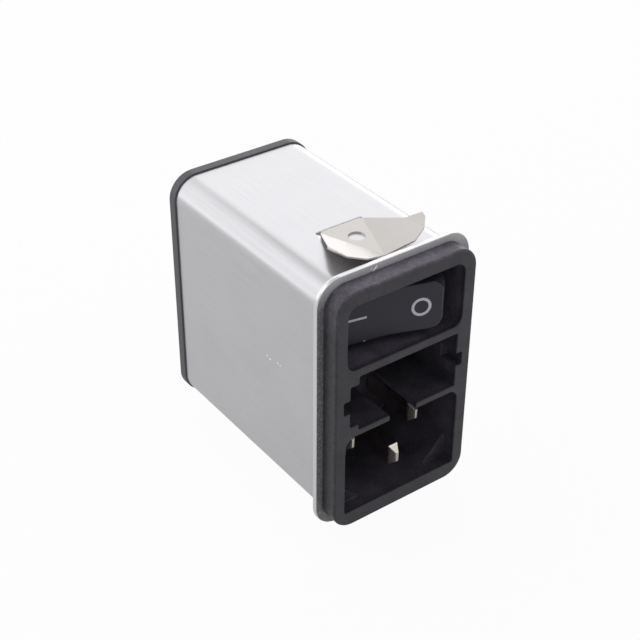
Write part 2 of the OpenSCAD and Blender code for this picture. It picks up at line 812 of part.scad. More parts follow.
// See-saw contact: a strip with a round bead behind its middle and a button at its closing end
module see_saw(pole) {
    back = -bead_r / 2;
    color("#c08a4a")
        translate([0, bead_y, pole]) rotate(contact_tilt) {
            block(-contact_l / 2, contact_l / 2, back - contact_t, back, -contact_w / 2, contact_w / 2);
            translate([0, 0, -contact_w / 2]) cylinder(r = bead_r, h = contact_w);
            bar(fixed_x, 0, button_r, back - contact_t / 2, back + button_h);
        }
}

module line_contact() {
    see_saw(line_pole);
}

module neutral_contact() {
    see_saw(neutral_pole);
}

module tail(x, z, y0) {
    block(x - tail_t / 2, x + tail_t / 2, y0, tail_y, z - tail_w / 2, z + tail_w / 2);
}

// Terminal with the cradle that a see-saw contact turns in
module common(pole) {
    color("#c9a25e") {
        difference() {
            block(-cradle_w / 2, cradle_w / 2, bead_y + bead_r / 5, base_y,
                pole - contact_w / 2, pole + contact_w / 2);
            translate([0, bead_y, pole - contact_w / 2 - over])
                cylinder(r = bead_r + bead_gap, h = contact_w + 2 * over);
        }
        tail(0, pole, base_y - cradle_h / 4);
    }
}

module line_common() {
    common(line_pole);
}

module neutral_common() {
    common(neutral_pole);
}

// Terminal that a see-saw contact closes on
module fixed(pole) {
    reach = button_h - bead_r / 2 + closed_gap;
    face = bead_y + reach * cos(contact_tilt) + (fixed_x + button_r) * sin(contact_tilt);
    color("#c9a25e") {
        block(fixed_x - button_r, fixed_x + button_r, face, base_y,
            pole - contact_w / 2, pole + contact_w / 2);
        tail(fixed_x, pole, (face + base_y) / 2);
    }
}

module line_fixed() {
    fixed(line_pole);
}

module neutral_fixed() {
    fixed(neutral_pole);
}

module switch_base() {
    w = chamber_w / 2 - base_gap;
    h = chamber_h / 2 - base_gap;
    color("#8d3b2e")
        difference() {
            union() {
                block(-w, w, base_y, housing_d, recess_zc - h, recess_zc + h);
                block(-w, w, bead_y - contact_t, base_y + base_t / 2,
                    recess_zc - barrier_t / 2, recess_zc + barrier_t / 2);
            }
            for (x = [0, fixed_x], z = [line_pole, neutral_pole])
                block(x - tail_t / 2, x + tail_t / 2, base_y - over, housing_d + over,
                    z - tail_w / 2, z + tail_w / 2);
        }
}

// Inlet pins

module pin(x, z, tip) {
    left = x - pin_t / 2;
    right = x + pin_t / 2;
    low = z - pin_h / 2;
    high = z + pin_h / 2;
    color("#c9c6c0") {
        intersection() {
            along_z(low, high)
                polygon([[left, housing_d], [left, tip + pin_nose], [left + pin_slant, tip],
                    [right - pin_slant, tip], [right, tip + pin_nose], [right, housing_d]]);
            along_x(left, right)
                polygon([[housing_d, low], [tip + pin_nose, low], [tip, low + pin_drop],
                    [tip, high - pin_drop], [tip + pin_nose, high], [housing_d, high]]);
        }
        tail(x, z, housing_d - over);
    }
}

module line_pin() {
    pin(-pin_x, pin_z, front_y + pin_back);
}

module neutral_pin() {
    pin(pin_x, pin_z, front_y + pin_back);
}

module earth_pin() {
    pin(0, earth_z, front_y + earth_back);
}

// Fuse contacts: bent leaf in the slot, with a tail through the housing's back wall
module fuse_clip(side, z) {
    wall = slot_w / 2 - 1.5 * clip_t;
    front = slot_y - clip_l;
    path = [[clip_x, housing_d], [clip_x, slot_y - clip_foot], [wall, slot_y - 2 * clip_foot],
        [wall - clip_bulge, front + clip_lead], [wall, front]];
    color("#c9b48a") {
        along_z(z - clip_w / 2, z + clip_w / 2)
            mirror([side < 0 ? 1 : 0, 0]) strip(path, clip_t);
        block(side * clip_x - clip_t / 2, side * clip_x + clip_t / 2, housing_d - over, tail_y,
            z - tail_w / 2, z + tail_w / 2);
    }
}

module line_clip_in() {
    fuse_clip(-1, line_fuse);
}

module line_clip_out() {
    fuse_clip(1, line_fuse);
}

module neutral_clip_in() {
    fuse_clip(1, neutral_fuse);
}

module neutral_clip_out() {
    fuse_clip(-1, neutral_fuse);
}

// Stamped links on the housing's rear face

module link_plate(rects, holes) {
    color("#c9a25e")
        along_y(housing_d, housing_d + link_t)
            difference() {
                for (r = rects) translate([r[0], r[2]]) square([r[1] - r[0], r[3] - r[2]]);
                for (h = holes) translate([h[0], h[1]]) square([h[2], tail_w], center = true);
            }
}

module line_inlet_link() {
    half = link_w / 2;
    link_plate([[-pin_x - half, half - pin_x, pin_z - half, line_fuse + half],
        [-clip_x - half / 2, half - pin_x, line_fuse - half, line_fuse + half]],
        [[-pin_x, pin_z, tail_t], [-clip_x, line_fuse, clip_t]]);
}

module neutral_inlet_link() {
    half = link_w / 2;
    link_plate([[pin_x - half, pin_x + half, pin_z - half, neutral_fuse + half],
        [pin_x - half, clip_x + half / 2, neutral_fuse - half, neutral_fuse + half]],
        [[pin_x, pin_z, tail_t], [clip_x, neutral_fuse, clip_t]]);
}

module line_switch_link() {
    half = link_w / 2;
    link_plate([[clip_x - half / 2, edge_x, line_fuse - half, line_fuse + half],
        [edge_x - edge_link_w, edge_x, line_fuse - half, line_pole + half],
        [fixed_x - half, edge_x, line_pole - half, line_pole + half]],
        [[clip_x, line_fuse, clip_t], [fixed_x, line_pole, tail_t]]);
}

module neutral_switch_link() {
    half = link_w / 2;
    link_plate([[-clip_x - half, half - clip_x, neutral_fuse - half, neutral_pole + half],
        [-clip_x - half, half, neutral_pole - half, neutral_pole + half]],
        [[-clip_x, neutral_fuse, clip_t], [0, neutral_pole, tail_t]]);
}

// Earth bond

module earth_strap() {
    half = strap_w / 2;
    floor_z = -inner_h / 2;
    color("#b9b3a6")
        difference() {
            union() {
                block(-half, half, housing_d, housing_d + strap_t, strap_z - half, earth_z + half);
                block(-half, strap_x + half, housing_d, housing_d + strap_t,
                    strap_z - half, strap_z + half);
                block(strap_x - half, strap_x + half, housing_d, housing_d + strap_t, floor_z, strap_z);
                block(strap_x - half, strap_x + half, housing_d, housing_d + strap_l + strap_t,
                    floor_z, floor_z + strap_t);
            }
            block(-tail_t / 2, tail_t / 2, housing_d - over, housing_d + strap_t + over,
                earth_z - tail_w / 2, earth_z + tail_w / 2);
            translate([strap_x, rivet_y, floor_z - over]) cylinder(r = rivet_r, h = strap_t + 2 * over);
        }
}

module earth_rivet() {
    color("#c4c2bd")
        translate([strap_x, rivet_y, 0]) {
            translate([0, 0, -can_top]) cylinder(r = rivet_r, h = sheet_t + strap_t);
            translate([0, 0, -can_top - rivet_head_h]) cylinder(r = rivet_head_r, h = rivet_head_h);
            translate([0, 0, -inner_h / 2 + strap_t]) cylinder(r = rivet_head_r, h = rivet_head_h);
        }
}

// Leads from the switch to the filter board

module line_lead() {
    color("#6b3f2a") bar(0, line_pole, lead_r, tail_y, board_y0);
}

module neutral_lead() {
    color("#3a5fa8") bar(fixed_x, neutral_pole, lead_r, tail_y, board_y0);
}

// Line filter

module filter_board() {
    color("#2f6b45")
        difference() {
            slab(inner_w - 2 * rim_gap, inner_h - 2 * rim_gap, inner_r - rim_gap, board_y0, board_y1);
            for (tab = [[-tab_pitch / 2, tab_z], [tab_pitch / 2, tab_z], [0, earth_tab_z]])
                block(tab[0] - tab_leg_w / 2, tab[0] + tab_leg_w / 2, board_y0 - over, board_y1 + over,
                    tab[1] - tab_t / 2, tab[1] + tab_t / 2);
        }
}

module choke_core() {
    color("#3f6b5c")
        translate([0, choke_y, choke_z]) rotate([90, 0, 0])
            rotate_extrude() translate([core_mid, 0]) rounded(core_r - core_hole_r, core_h, core_edge);
}

// Point of the winding around the core's section, at a share of a full turn of the wire
function squared(v) = sign(v) * sqrt(abs(v));

function winding_point(turn, middle) =
    let (a = 360 * turn,
        across = middle - winding_span / 2 + winding_span * turn / (turns + 0.5),
        r = core_mid + wire_a * squared(cos(a)))
    [r * cos(across), choke_y - wire_b * squared(sin(a)), choke_z + r * sin(across)];

function winding_ref(turn, middle) =
    let (across = middle - winding_span / 2 + winding_span * turn / (turns + 0.5))
    [-sin(across), 0, cos(across)];

module winding(middle) {
    steps = (turns + 0.5) * wire_steps;
    shares = [for (i = [0 : steps]) i / wire_steps];
    coil = [for (s = shares) winding_point(s, middle)];
    refs = [for (s = shares) winding_ref(s, middle)];
    last = len(coil) - 1;
    start = [coil[0][0], board_y0, coil[0][2]];
    end = [coil[last][0], board_y0, coil[last][2]];
    wire(concat([start], coil, [end]), concat([refs[0]], refs, [refs[last]]), wire_r);
}

module line_winding() {
    color("#b5622d") winding(0);
}

module neutral_winding() {
    color("#b5622d") winding(180);
}

module mains_capacitor() {
    color("#c7b24a")
        along_y(board_y0 - cap_d, board_y0)
            translate([0, cap_z + cap_h / 2]) rounded(cap_w, cap_h, cap_r);
}

// Disc capacitor on two legs
module disc(side) {
    y = board_y0 - disc_up - disc_r;
    leg_z = disc_r / 2;
    color("#2f5fae") {
        translate([side * disc_x - disc_t / 2, y, disc_z]) rotate([0, 90, 0])
            cylinder(r = disc_r, h = disc_t);
        for (s = [-1, 1]) bar(side * disc_x, disc_z + s * leg_z, leg_r, y, board_y0);
    }
}

module line_capacitor() {
    disc(-1);
}

module neutral_capacitor() {
    disc(1);
}

module bleed_resistor() {
    y = board_y0 - resistor_r - wire_gap;
    foot = resistor_l / 2 + 3 * leg_r;
    post_r = 1.4 * leg_r;
    color("#b79a6a") {
        translate([resistor_x - resistor_l / 2, y, resistor_z]) rotate([0, 90, 0])
            cylinder(r = resistor_r, h = resistor_l);
        translate([resistor_x - foot, y, resistor_z]) rotate([0, 90, 0]) cylinder(r = leg_r, h = 2 * foot);
        for (s = [-1, 1]) bar(resistor_x + s * foot, resistor_z, post_r, y - 2 * leg_r, board_y0);
    }
}

// Rear tabs

module tab(x, z) {
    y0 = can_d + cover_t;
    y1 = y0 + tab_l;
    half = tab_w / 2;
    leg = tab_leg_w / 2;
    nose = tab_w / 5;
    color("#cfc7b4")
        along_z(z - tab_t / 2, z + tab_t / 2)
            difference() {
                polygon([[x - leg, board_y0], [x + leg, board_y0], [x + leg, y0], [x + half, y0],
                    [x + half, y1 - nose], [x + half - nose / 2, y1], [x - half + nose / 2, y1],
                    [x - half, y1 - nose], [x - half, y0], [x - leg, y0]]);
                translate([x, y1 - tab_l / 2]) circle(tab_hole_r);
            }
}

module line_tab() {
    tab(-tab_pitch / 2, tab_z);
}

module neutral_tab() {
    tab(tab_pitch / 2, tab_z);
}

module earth_tab() {
    tab(0, earth_tab_z);
}

can();
front_housing();
rear_cover();
top_spring_clip();
bottom_spring_clip();
rocker();
line_plunger();
neutral_plunger();
line_spring();
neutral_spring();
line_contact();
neutral_contact();
line_common();
neutral_common();
line_fixed();
neutral_fixed();
switch_base();
line_pin();
neutral_pin();
earth_pin();
line_clip_in();
line_clip_out();
neutral_clip_in();
neutral_clip_out();
line_inlet_link();
neutral_inlet_link();
line_switch_link();
neutral_switch_link();
earth_strap();
earth_rivet();
line_lead();
neutral_lead();
filter_board();
choke_core();
line_winding();
neutral_winding();
mains_capacitor();
line_capacitor();
neutral_capacitor();
bleed_resistor();
line_tab();
neutral_tab();
earth_tab();
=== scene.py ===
"""Dresses the snap-in power entry module: shells, switch, inlet, filter, finishes and studio."""

import json
import logging
import math
from dataclasses import dataclass, field
from enum import Enum
from typing import ClassVar

import bmesh
import bpy
from mathutils import Matrix, Vector


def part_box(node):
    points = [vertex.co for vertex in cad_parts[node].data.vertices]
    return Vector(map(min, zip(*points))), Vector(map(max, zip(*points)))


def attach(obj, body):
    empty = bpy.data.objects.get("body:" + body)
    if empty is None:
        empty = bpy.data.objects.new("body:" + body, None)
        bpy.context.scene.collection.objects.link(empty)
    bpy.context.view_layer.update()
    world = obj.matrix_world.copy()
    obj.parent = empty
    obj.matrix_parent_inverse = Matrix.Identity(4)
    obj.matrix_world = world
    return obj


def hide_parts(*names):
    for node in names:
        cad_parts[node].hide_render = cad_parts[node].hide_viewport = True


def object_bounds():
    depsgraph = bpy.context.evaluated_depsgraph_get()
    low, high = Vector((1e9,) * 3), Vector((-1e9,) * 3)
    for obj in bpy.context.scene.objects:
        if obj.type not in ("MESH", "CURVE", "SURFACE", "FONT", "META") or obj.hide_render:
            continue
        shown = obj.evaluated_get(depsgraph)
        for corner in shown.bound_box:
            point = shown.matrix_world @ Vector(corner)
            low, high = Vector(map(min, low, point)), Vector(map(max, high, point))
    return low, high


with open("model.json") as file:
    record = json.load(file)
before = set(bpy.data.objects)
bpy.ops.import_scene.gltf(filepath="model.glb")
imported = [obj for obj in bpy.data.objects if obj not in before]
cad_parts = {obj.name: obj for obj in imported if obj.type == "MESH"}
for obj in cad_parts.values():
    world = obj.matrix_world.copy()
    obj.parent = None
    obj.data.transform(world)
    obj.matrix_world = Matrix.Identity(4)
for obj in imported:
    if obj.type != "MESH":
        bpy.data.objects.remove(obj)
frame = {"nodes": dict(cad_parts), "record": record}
CAD_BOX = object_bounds()

log = logging.getLogger("power_entry_module")

MM = 0.001
# Distance of points that are one, and angle between triangles of one flat face
SAME_POINT = 0.001 * MM
FLAT = math.radians(0.4)
# Spans that noise about 0.5 mostly keeps to, from wide to narrow
NOISE_SPAN = (0.3, 0.7)
PATCHY_SPAN = (0.35, 0.65)
GRAIN_SPAN = (0.36, 0.64)
# Length of one wave of Blender's wave texture at scale 1, rounded
WAVE_LENGTH = 0.3
RECORD = frame["record"]
BODY_OF = {node: body for body, nodes in RECORD["behaviour"]["bodies"].items() for node in nodes}
SLOT_OF = {part["node"]: part["material_slot"] for part in RECORD["subparts"]}

Pair = tuple[float, float]
Triple = tuple[float, float, float]
Colour = tuple[float, float, float]
Socket = bpy.types.NodeSocket


# Finishes

class Brush(Enum):
    """Way that the fine lines of a rolled or brushed sheet run, as the pattern's stretch on each axis."""

    DEPTH = (1.0, 0.012, 1.0)
    WIDTH = (0.012, 1.0, 1.0)
    NONE = (1.0, 1.0, 1.0)


@dataclass(frozen=True)
class Patch:
    """Small mark on a surface: an oval with soft edges.

    Attributes:
        centre: Middle of the mark in metres.
        half: Half sizes along the mark's own axes in metres.
        turn: Turn of those axes in degrees.
        firm: Share of the half sizes inside which the mark is full.
    """

    centre: Triple
    half: Triple
    turn: Triple = (0.0, 0.0, 0.0)
    firm: float = 0.6


class NodeTree:
    """Blender's node tree, with the steps that finishes, shapes and the studio share."""

    def __init__(self, tree: bpy.types.NodeTree) -> None:
        """Takes a tree to add to.

        Args:
            tree: Tree of a material, a world or a shape.
        """
        self.tree = tree

    def feed(self, target: Socket, value: object) -> None:
        """Links an input to a socket, or sets its own value.

        Args:
            target: Input to feed.
            value: Socket to link, or plain value.
        """
        if isinstance(value, Socket):
            self.tree.links.new(value, target)
        else:
            target.default_value = value

    def node(self, kind: str, inputs: dict | None = None, **settings: object) -> bpy.types.Node:
        """Adds a node.

        Args:
            kind: Blender's name of the node type.
            inputs: Value or socket for each input, by name or index.
            settings: The node's own settings.

        Returns:
            The new node.
        """
        made = self.tree.nodes.new(kind)
        for key, value in settings.items():
            setattr(made, key, value)
        for key, value in (inputs or {}).items():
            self.feed(made.inputs[key], value)
        return made

    def math(self, operation: str, first: Socket | float, second: Socket | float = 0.0) -> Socket:
        """Gives one step of arithmetic on two numbers."""
        return self.node("ShaderNodeMath", {0: first, 1: second}, operation=operation).outputs["Value"]


class FinishNodes(NodeTree):
    """Node tree of one finish, with the patterns that several finishes share."""

    def __init__(self, name: str) -> None:
        """Starts a material that holds one shader.

        Args:
            name: Name of the material.
        """
        self.material = bpy.data.materials.new(name)
        self.material.use_nodes = True
        super().__init__(self.material.node_tree)
        self._shader = self.tree.nodes["Principled BSDF"]

    def place(self, scale: Triple = (1.0, 1.0, 1.0)) -> Socket:
        """Gives the place on the piece in metres, stretched by a scale."""
        at = self.node("ShaderNodeTexCoord").outputs["Object"]
        return self.node("ShaderNodeMapping", {"Vector": at, "Scale": scale}).outputs["Vector"]

    def axes(self) -> bpy.types.bpy_prop_collection:
        """Gives the place on the piece along X, Y and Z in metres."""
        return self.node("ShaderNodeSeparateXYZ", {0: self.place()}).outputs

    def noise(self, at: Socket, size: float, detail: float = 2.0) -> Socket:
        """Gives soft noise.

        Args:
            at: Place to read.
            size: Size of one lump in metres.
            detail: Layers of finer lumps.

        Returns:
            Noise about 0.5.
        """
        texture = self.node("ShaderNodeTexNoise", {"Vector": at, "Scale": 1.0 / size, "Detail": detail})
        return texture.outputs["Fac"]

    def vector(self, operation: str, first: Socket, second: Triple | Socket = (0.0, 0.0, 0.0)) -> Socket:
        """Gives one step of arithmetic on vectors.

        Args:
            operation: Blender's name of the step.
            first: First vector.
            second: Second vector, or the number that scales the first one.

        Returns:
            The vector, or its length.
        """
        key = "Scale" if operation == "SCALE" else 1
        step = self.node("ShaderNodeVectorMath", {0: first, key: second}, operation=operation)
        return step.outputs["Value" if operation == "LENGTH" else "Vector"]

    def spread(self, value: Socket, out: Pair, span: Pair = (0.0, 1.0)) -> Socket:
        """Maps a number from one span to another.

        Args:
            value: Number to map.
            out: Results at the ends of the span.
            span: Ends of the span.

        Returns:
            The mapped number, held inside the results.
        """
        return self.node("ShaderNodeMapRange", {
            "Value": value, "From Min": span[0], "From Max": span[1], "To Min": out[0], "To Max": out[1],
        }).outputs["Result"]

    def share(self, value: Socket, span: Pair) -> Socket:
        """Gives 0 at the start of a span and 1 at its end."""
        return self.spread(value, (0.0, 1.0), span)

    def between(self, share: Socket | float, first: Socket | float, second: Socket | float) -> Socket:
        """Gives a number that lies a share of the way from one number to another."""
        return self.node("ShaderNodeMix", {0: share, 2: first, 3: second}, data_type="FLOAT").outputs[0]

    def blend(self, share: Socket, first: Socket | Colour, second: Socket | Colour) -> Socket:
        """Mixes two colours.

        Args:
            share: Share of the second colour.
            first: Colour at share 0.
            second: Colour at share 1.

        Returns:
            The mixed colour.
        """
        ends = [end if isinstance(end, Socket) else (*end, 1.0) for end in (first, second)]
        mixer = self.node("ShaderNodeMix", {0: share, 6: ends[0], 7: ends[1]}, data_type="RGBA")
        return mixer.outputs[2]

    def patch(self, mark: Patch) -> Socket:
        """Shows where a small mark lies.

        Args:
            mark: The mark.

        Returns:
            1 inside the mark and 0 outside it.
        """
        at = self.node("ShaderNodeTexCoord").outputs["Object"]
        turn = tuple(math.radians(angle) for angle in mark.turn)
        local = self.node("ShaderNodeMapping", {
            "Vector": at, "Location": mark.centre, "Rotation": turn, "Scale": mark.half,
        }, vector_type="TEXTURE").outputs["Vector"]
        return self.spread(self.vector("LENGTH", local), (1.0, 0.0), (mark.firm, 1.0))

    def patches(self, marks: tuple[Patch, ...]) -> Socket | None:
        """Shows where several marks lie.

        Args:
            marks: The marks.

        Returns:
            1 inside any of them and 0 outside, or None where there are none.
        """
        total = None
        for mark in marks:
            share = self.patch(mark)
            total = share if total is None else self.math("MAXIMUM", total, share)
        return total

    def beyond(self, half: Pair, corner: float) -> Socket:
        """Gives how far a place lies outside a rounded rectangle that is seen from the front.

        Args:
            half: Half width and half height of the rectangle in metres.
            corner: Its corner radius in metres.

        Returns:
            The distance in metres, below 0 inside.
        """
        straight = (half[0] - corner, 0.0, half[1] - corner)
        across = self.vector("SUBTRACT", self.vector("ABSOLUTE", self.place((1.0, 0.0, 1.0))), straight)
        reach = self.vector("LENGTH", self.vector("MAXIMUM", across))
        return self.math("SUBTRACT", reach, corner)

    def specks(self, size: float, spacing: float, share: float) -> Socket:
        """Gives 1 on sparse tiny specks, such as dust.

        Args:
            size: Radius of a speck in metres.
            spacing: Distance between places that may hold a speck, in metres.
            share: Share of those places that holds one.

        Returns:
            Mask of the specks.
        """
        cells = self.node("ShaderNodeTexVoronoi", {"Vector": self.place(), "Scale": 1.0 / spacing})
        near = self.spread(cells.outputs["Distance"], (1.0, 0.0), (0.5 * size / spacing, size / spacing))
        split = self.node("ShaderNodeSeparateColor", {"Color": cells.outputs["Color"]})
        picked = self.math("LESS_THAN", split.outputs["Red"], share)
        return self.math("MULTIPLY", near, picked)

    def relief(self, height: Socket, depth: float) -> Socket:
        """Gives the shader's normal for a pattern from 0 to 1 that is so many metres high."""
        bump = self.node("ShaderNodeBump", {"Height": height, "Distance": depth, "Strength": 1.0})
        return bump.outputs["Normal"]

    def shade(self, **sockets: object) -> None:
        """Sets the shader's inputs, each named with _ for a space."""
        for key, value in sockets.items():
            self.feed(self._shader.inputs[key.replace("_", " ")], value)


@dataclass(frozen=True)
class Finish:
    """Finish of a surface.

    Attributes:
        name: Name of its material.
        colour: Main colour, linear.
    """

    made: ClassVar[dict[str, bpy.types.Material]] = {}
    name: str
    colour: Colour

    def material(self) -> bpy.types.Material:
        """Gives the finish's material.

        Returns:
            The material, built once.
        """
        if self.name not in self.made:
            nodes = FinishNodes(self.name)
            self.paint(nodes)
            self.made[self.name] = nodes.material
        return self.made[self.name]

    def tint(self, factor: float) -> Colour:
        """Gives the main colour made lighter or darker by a factor."""
        return tuple(min(1.0, part * factor) for part in self.colour)

    def two_tone(self, nodes: FinishNodes, share: Socket, contrast: float) -> Socket:
        """Gives the main colour, darker at share 0 and lighter at share 1 by a contrast."""
        return nodes.blend(share, self.tint(1.0 - contrast), self.tint(1.0 + contrast))

    def paint(self, nodes: FinishNodes) -> None:
        """Fills the finish's node tree."""
        raise NotImplementedError


@dataclass(frozen=True)
class SheetMetal(Finish):
    """Rolled, brushed or plated metal with fine lines.

    Attributes:
        burr: Colour of the flecks and scratches.
        line_share: Share of the lines in the tone, where the rest is clouds.
        roughness: Least and most roughness.
        brush: Way of the lines.
        line: Width of a line in metres.
        depth: Height of the lines' relief in metres, or 0 for none.
        contrast: How far the lines' tone departs from the main colour.
        cloud: Size of the large soft tone changes in metres.
        bright: Pale flecks and scratches.
        metal: Share that mirrors as bare metal does, where the rest scatters light.
    """

    burr: ClassVar[Colour] = (0.98, 0.97, 1.0)
    line_share: ClassVar[float] = 0.7
    roughness: Pair = (0.25, 0.4)
    brush: Brush = Brush.NONE
    line: float = 0.12 * MM
    depth: float = 0.002 * MM
    contrast: float = 0.12
    cloud: float = 9 * MM
    bright: tuple[Patch, ...] = ()
    metal: float = 1.0

    def bare(self, nodes: FinishNodes, tone: Socket) -> tuple[Socket, Socket]:
        """Gives the metal without its marks.

        Args:
            nodes: Node tree to add to.
            tone: Tone of the lines and clouds, about 0.5.

        Returns:
            Its colour and its roughness.
        """
        colour = self.two_tone(nodes, nodes.share(tone, NOISE_SPAN), self.contrast)
        return colour, nodes.spread(tone, self.roughness, NOISE_SPAN)

    def paint(self, nodes: FinishNodes) -> None:
        """Lays lines and clouds of tone on bare metal, then its marks, whose burrs face upwards."""
        lines = nodes.noise(nodes.place(self.brush.value), self.line, detail=4.0)
        clouds = nodes.noise(nodes.place(), self.cloud, detail=3.0)
        nodes.shade(Metallic=self.metal)
        colour, rough = self.bare(nodes, nodes.between(self.line_share, clouds, lines))
        bright = nodes.patches(self.bright)
        if bright is not None:
            colour = nodes.blend(bright, colour, self.burr)
        nodes.shade(Base_Color=colour, Roughness=rough)
        if self.depth > 0.0:
            normal = nodes.relief(lines, self.depth)
            if bright is not None:
                lift = nodes.node("ShaderNodeCombineXYZ", {"Z": bright}).outputs["Vector"]
                normal = nodes.vector("NORMALIZE", nodes.vector("ADD", normal, lift))
            nodes.shade(Normal=normal)


@dataclass(frozen=True)
class FlangedSheet(SheetMetal):
    """Sheet metal of the flanged can: lighter cut rim with a painted highlight, speckled front face with
    painted light.

    Attributes:
        half: Half width and half height of the flange in metres.
        corner: Corner radius of the flange in metres.
        rim: Width of the cut rim with its painted highlight, in metres.
        cut: Tone of the cut rim: lighter bare metal with a painted highlight on it.
        front: Depth of the flange's front face in metres.
        skin: Depths behind the front face between which its look ends, in metres.
        dot: Size of the front face's speckle in metres.
        dot_span: Span of the speckle's noise.
        painted_light_top: Height of the strip along the flange's top that has painted light, in metres.
        dark: Tone of the speckle's dark dots, below and in the painted light along the top.
        light: Tone of the speckle's light dots, below and in the painted light along the top.
        matt: Share of the face that scatters light, below and in the painted light along the top.
        face_rough: Roughness of the front face.
    """

    half: Pair = (1.0, 1.0)
    corner: float = 0.0
    rim: float = 0.1 * MM
    cut: float = 1.22
    front: float = 0.0
    skin: Pair = (0.02 * MM, 0.06 * MM)
    dot: float = 0.3 * MM
    dot_span: Pair = (0.4, 0.68)
    painted_light_top: float = 5 * MM
    dark: Pair = (0.33, 1.3)
    light: Pair = (0.65, 1.4)
    matt: Pair = (0.75, 1.0)
    face_rough: float = 0.5

    def bare(self, nodes: FinishNodes, tone: Socket) -> tuple[Socket, Socket]:
        """Gives the metal with the speckled face and its painted light, and the cut rim with its painted
        highlight.

        Args:
            nodes: Node tree to add to.
            tone: Tone of the lines and clouds, about 0.5.

        Returns:
            Its colour and its roughness.
        """
        colour, rough = super().bare(nodes, tone)
        dots = nodes.share(nodes.noise(nodes.place(), self.dot), self.dot_span)
        place = nodes.axes()
        face = nodes.spread(place["Y"], (1.0, 0.0), tuple(self.front + depth for depth in self.skin))
        # The speckled front face is painted lighter along the flange's top as painted light, and darker below
        # it
        painted_light_top = nodes.share(place["Z"], (self.half[1] - self.painted_light_top, self.half[1]))
        tones = [nodes.blend(painted_light_top, *map(self.tint, ends)) for ends in (self.dark, self.light)]
        colour = nodes.blend(face, colour, nodes.blend(dots, *tones))
        plain = nodes.math("SUBTRACT", 1.0, nodes.math("MULTIPLY", face, nodes.spread(painted_light_top, self.matt)))
        nodes.shade(Metallic=nodes.math("MAXIMUM", plain, nodes.patches(self.bright)))
        rough = nodes.math("MAXIMUM", rough, nodes.math("MULTIPLY", face, self.face_rough))
        # The cut rim is lighter bare metal, made lighter still as a painted highlight
        rim = nodes.math("GREATER_THAN", nodes.beyond(self.half, self.corner), -self.rim)
        return nodes.blend(rim, colour, self.tint(self.cut)), rough


@dataclass(frozen=True)
class BladeMetal(SheetMetal):
    """Plated metal of the inlet's blades, with duller tips.

    Attributes:
        tips: Depth in metres where the dull tip ends, on the outer blades and on the middle one.
        middle: Half width in metres of the zone that holds the middle blade.
        dull: How metallic the tips are.
        fade: Length over which the dull tip ends, in metres.
    """

    tips: Pair = (0.0, 0.0)
    middle: float = 4 * MM
    dull: float = 0.75
    fade: float = 0.4 * MM

    def bare(self, nodes: FinishNodes, tone: Socket) -> tuple[Socket, Socket]:
        """Gives the metal with its duller tips.

        Args:
            nodes: Node tree to add to.
            tone: Tone of the lines and clouds, about 0.5.

        Returns:
            Its colour and its roughness.
        """
        place = nodes.axes()
        outer = nodes.math("GREATER_THAN", nodes.math("ABSOLUTE", place["X"]), self.middle)
        end = nodes.spread(outer, (self.tips[1], self.tips[0]))
        past = nodes.math("SUBTRACT", place["Y"], end)
        nodes.shade(Metallic=nodes.spread(past, (self.dull, 1.0), (-self.fade, 0.0)))
        return super().bare(nodes, tone)


@dataclass(frozen=True)
class MouldedPlastic(Finish):
    """Moulded plastic with a fine grain.

    Attributes:
        cloud: Size of the mottle in metres.
        speck: Radius of a dust speck and distance between their places, in metres.
        speck_shows: How far a speck covers the plastic.
        speck_colour: Colour of the dust.
        fleck_colour: Colour of the flecks.
        roughness: Least and most roughness.
        grain: Size of the grain in metres.
        depth: Height of the grain in metres.
        mottle: How far its tone departs from the main colour.
        dust: Share of places that hold a dust speck.
        gloss: Level of its reflection, 0.5 for a plain plastic.
        marks: Pale flecks at known places.
    """

    cloud: ClassVar[float] = 4 * MM
    speck: ClassVar[Pair] = (0.07 * MM, 0.9 * MM)
    speck_shows: ClassVar[float] = 0.5
    speck_colour: ClassVar[Colour] = (0.3, 0.3, 0.31)
    fleck_colour: ClassVar[Colour] = (0.7, 0.7, 0.7)
    roughness: Pair = (0.42, 0.55)
    grain: float = 0.16 * MM
    depth: float = 0.004 * MM
    mottle: float = 0.18
    dust: float = 0.0
    gloss: float = 0.5
    marks: tuple[Patch, ...] = ()

    def body(self, nodes: FinishNodes, share: Socket) -> Socket:
        """Gives the plastic's own colour.

        Args:
            nodes: Node tree to add to.
            share: Mottle from 0 to 1.

        Returns:
            The mottled colour.
        """
        return self.two_tone(nodes, share, self.mottle)

    def paint(self, nodes: FinishNodes) -> None:
        """Lays grain and mottle on the plastic, then dust and flecks."""
        grain = nodes.noise(nodes.place(), self.grain, detail=3.0)
        mottle = nodes.noise(nodes.place(), self.cloud, detail=4.0)
        nodes.shade(Specular_IOR_Level=self.gloss)
        colour = self.body(nodes, nodes.share(nodes.between(0.5, grain, mottle), GRAIN_SPAN))
        rough = nodes.spread(mottle, self.roughness, NOISE_SPAN)
        if self.dust:
            specks = nodes.math("MULTIPLY", nodes.specks(*self.speck, self.dust), self.speck_shows)
            colour = nodes.blend(specks, colour, self.speck_colour)
        flecks = nodes.patches(self.marks)
        if flecks is not None:
            colour = nodes.blend(flecks, colour, self.fleck_colour)
        nodes.shade(Base_Color=colour, Roughness=rough, Normal=nodes.relief(grain, self.depth))


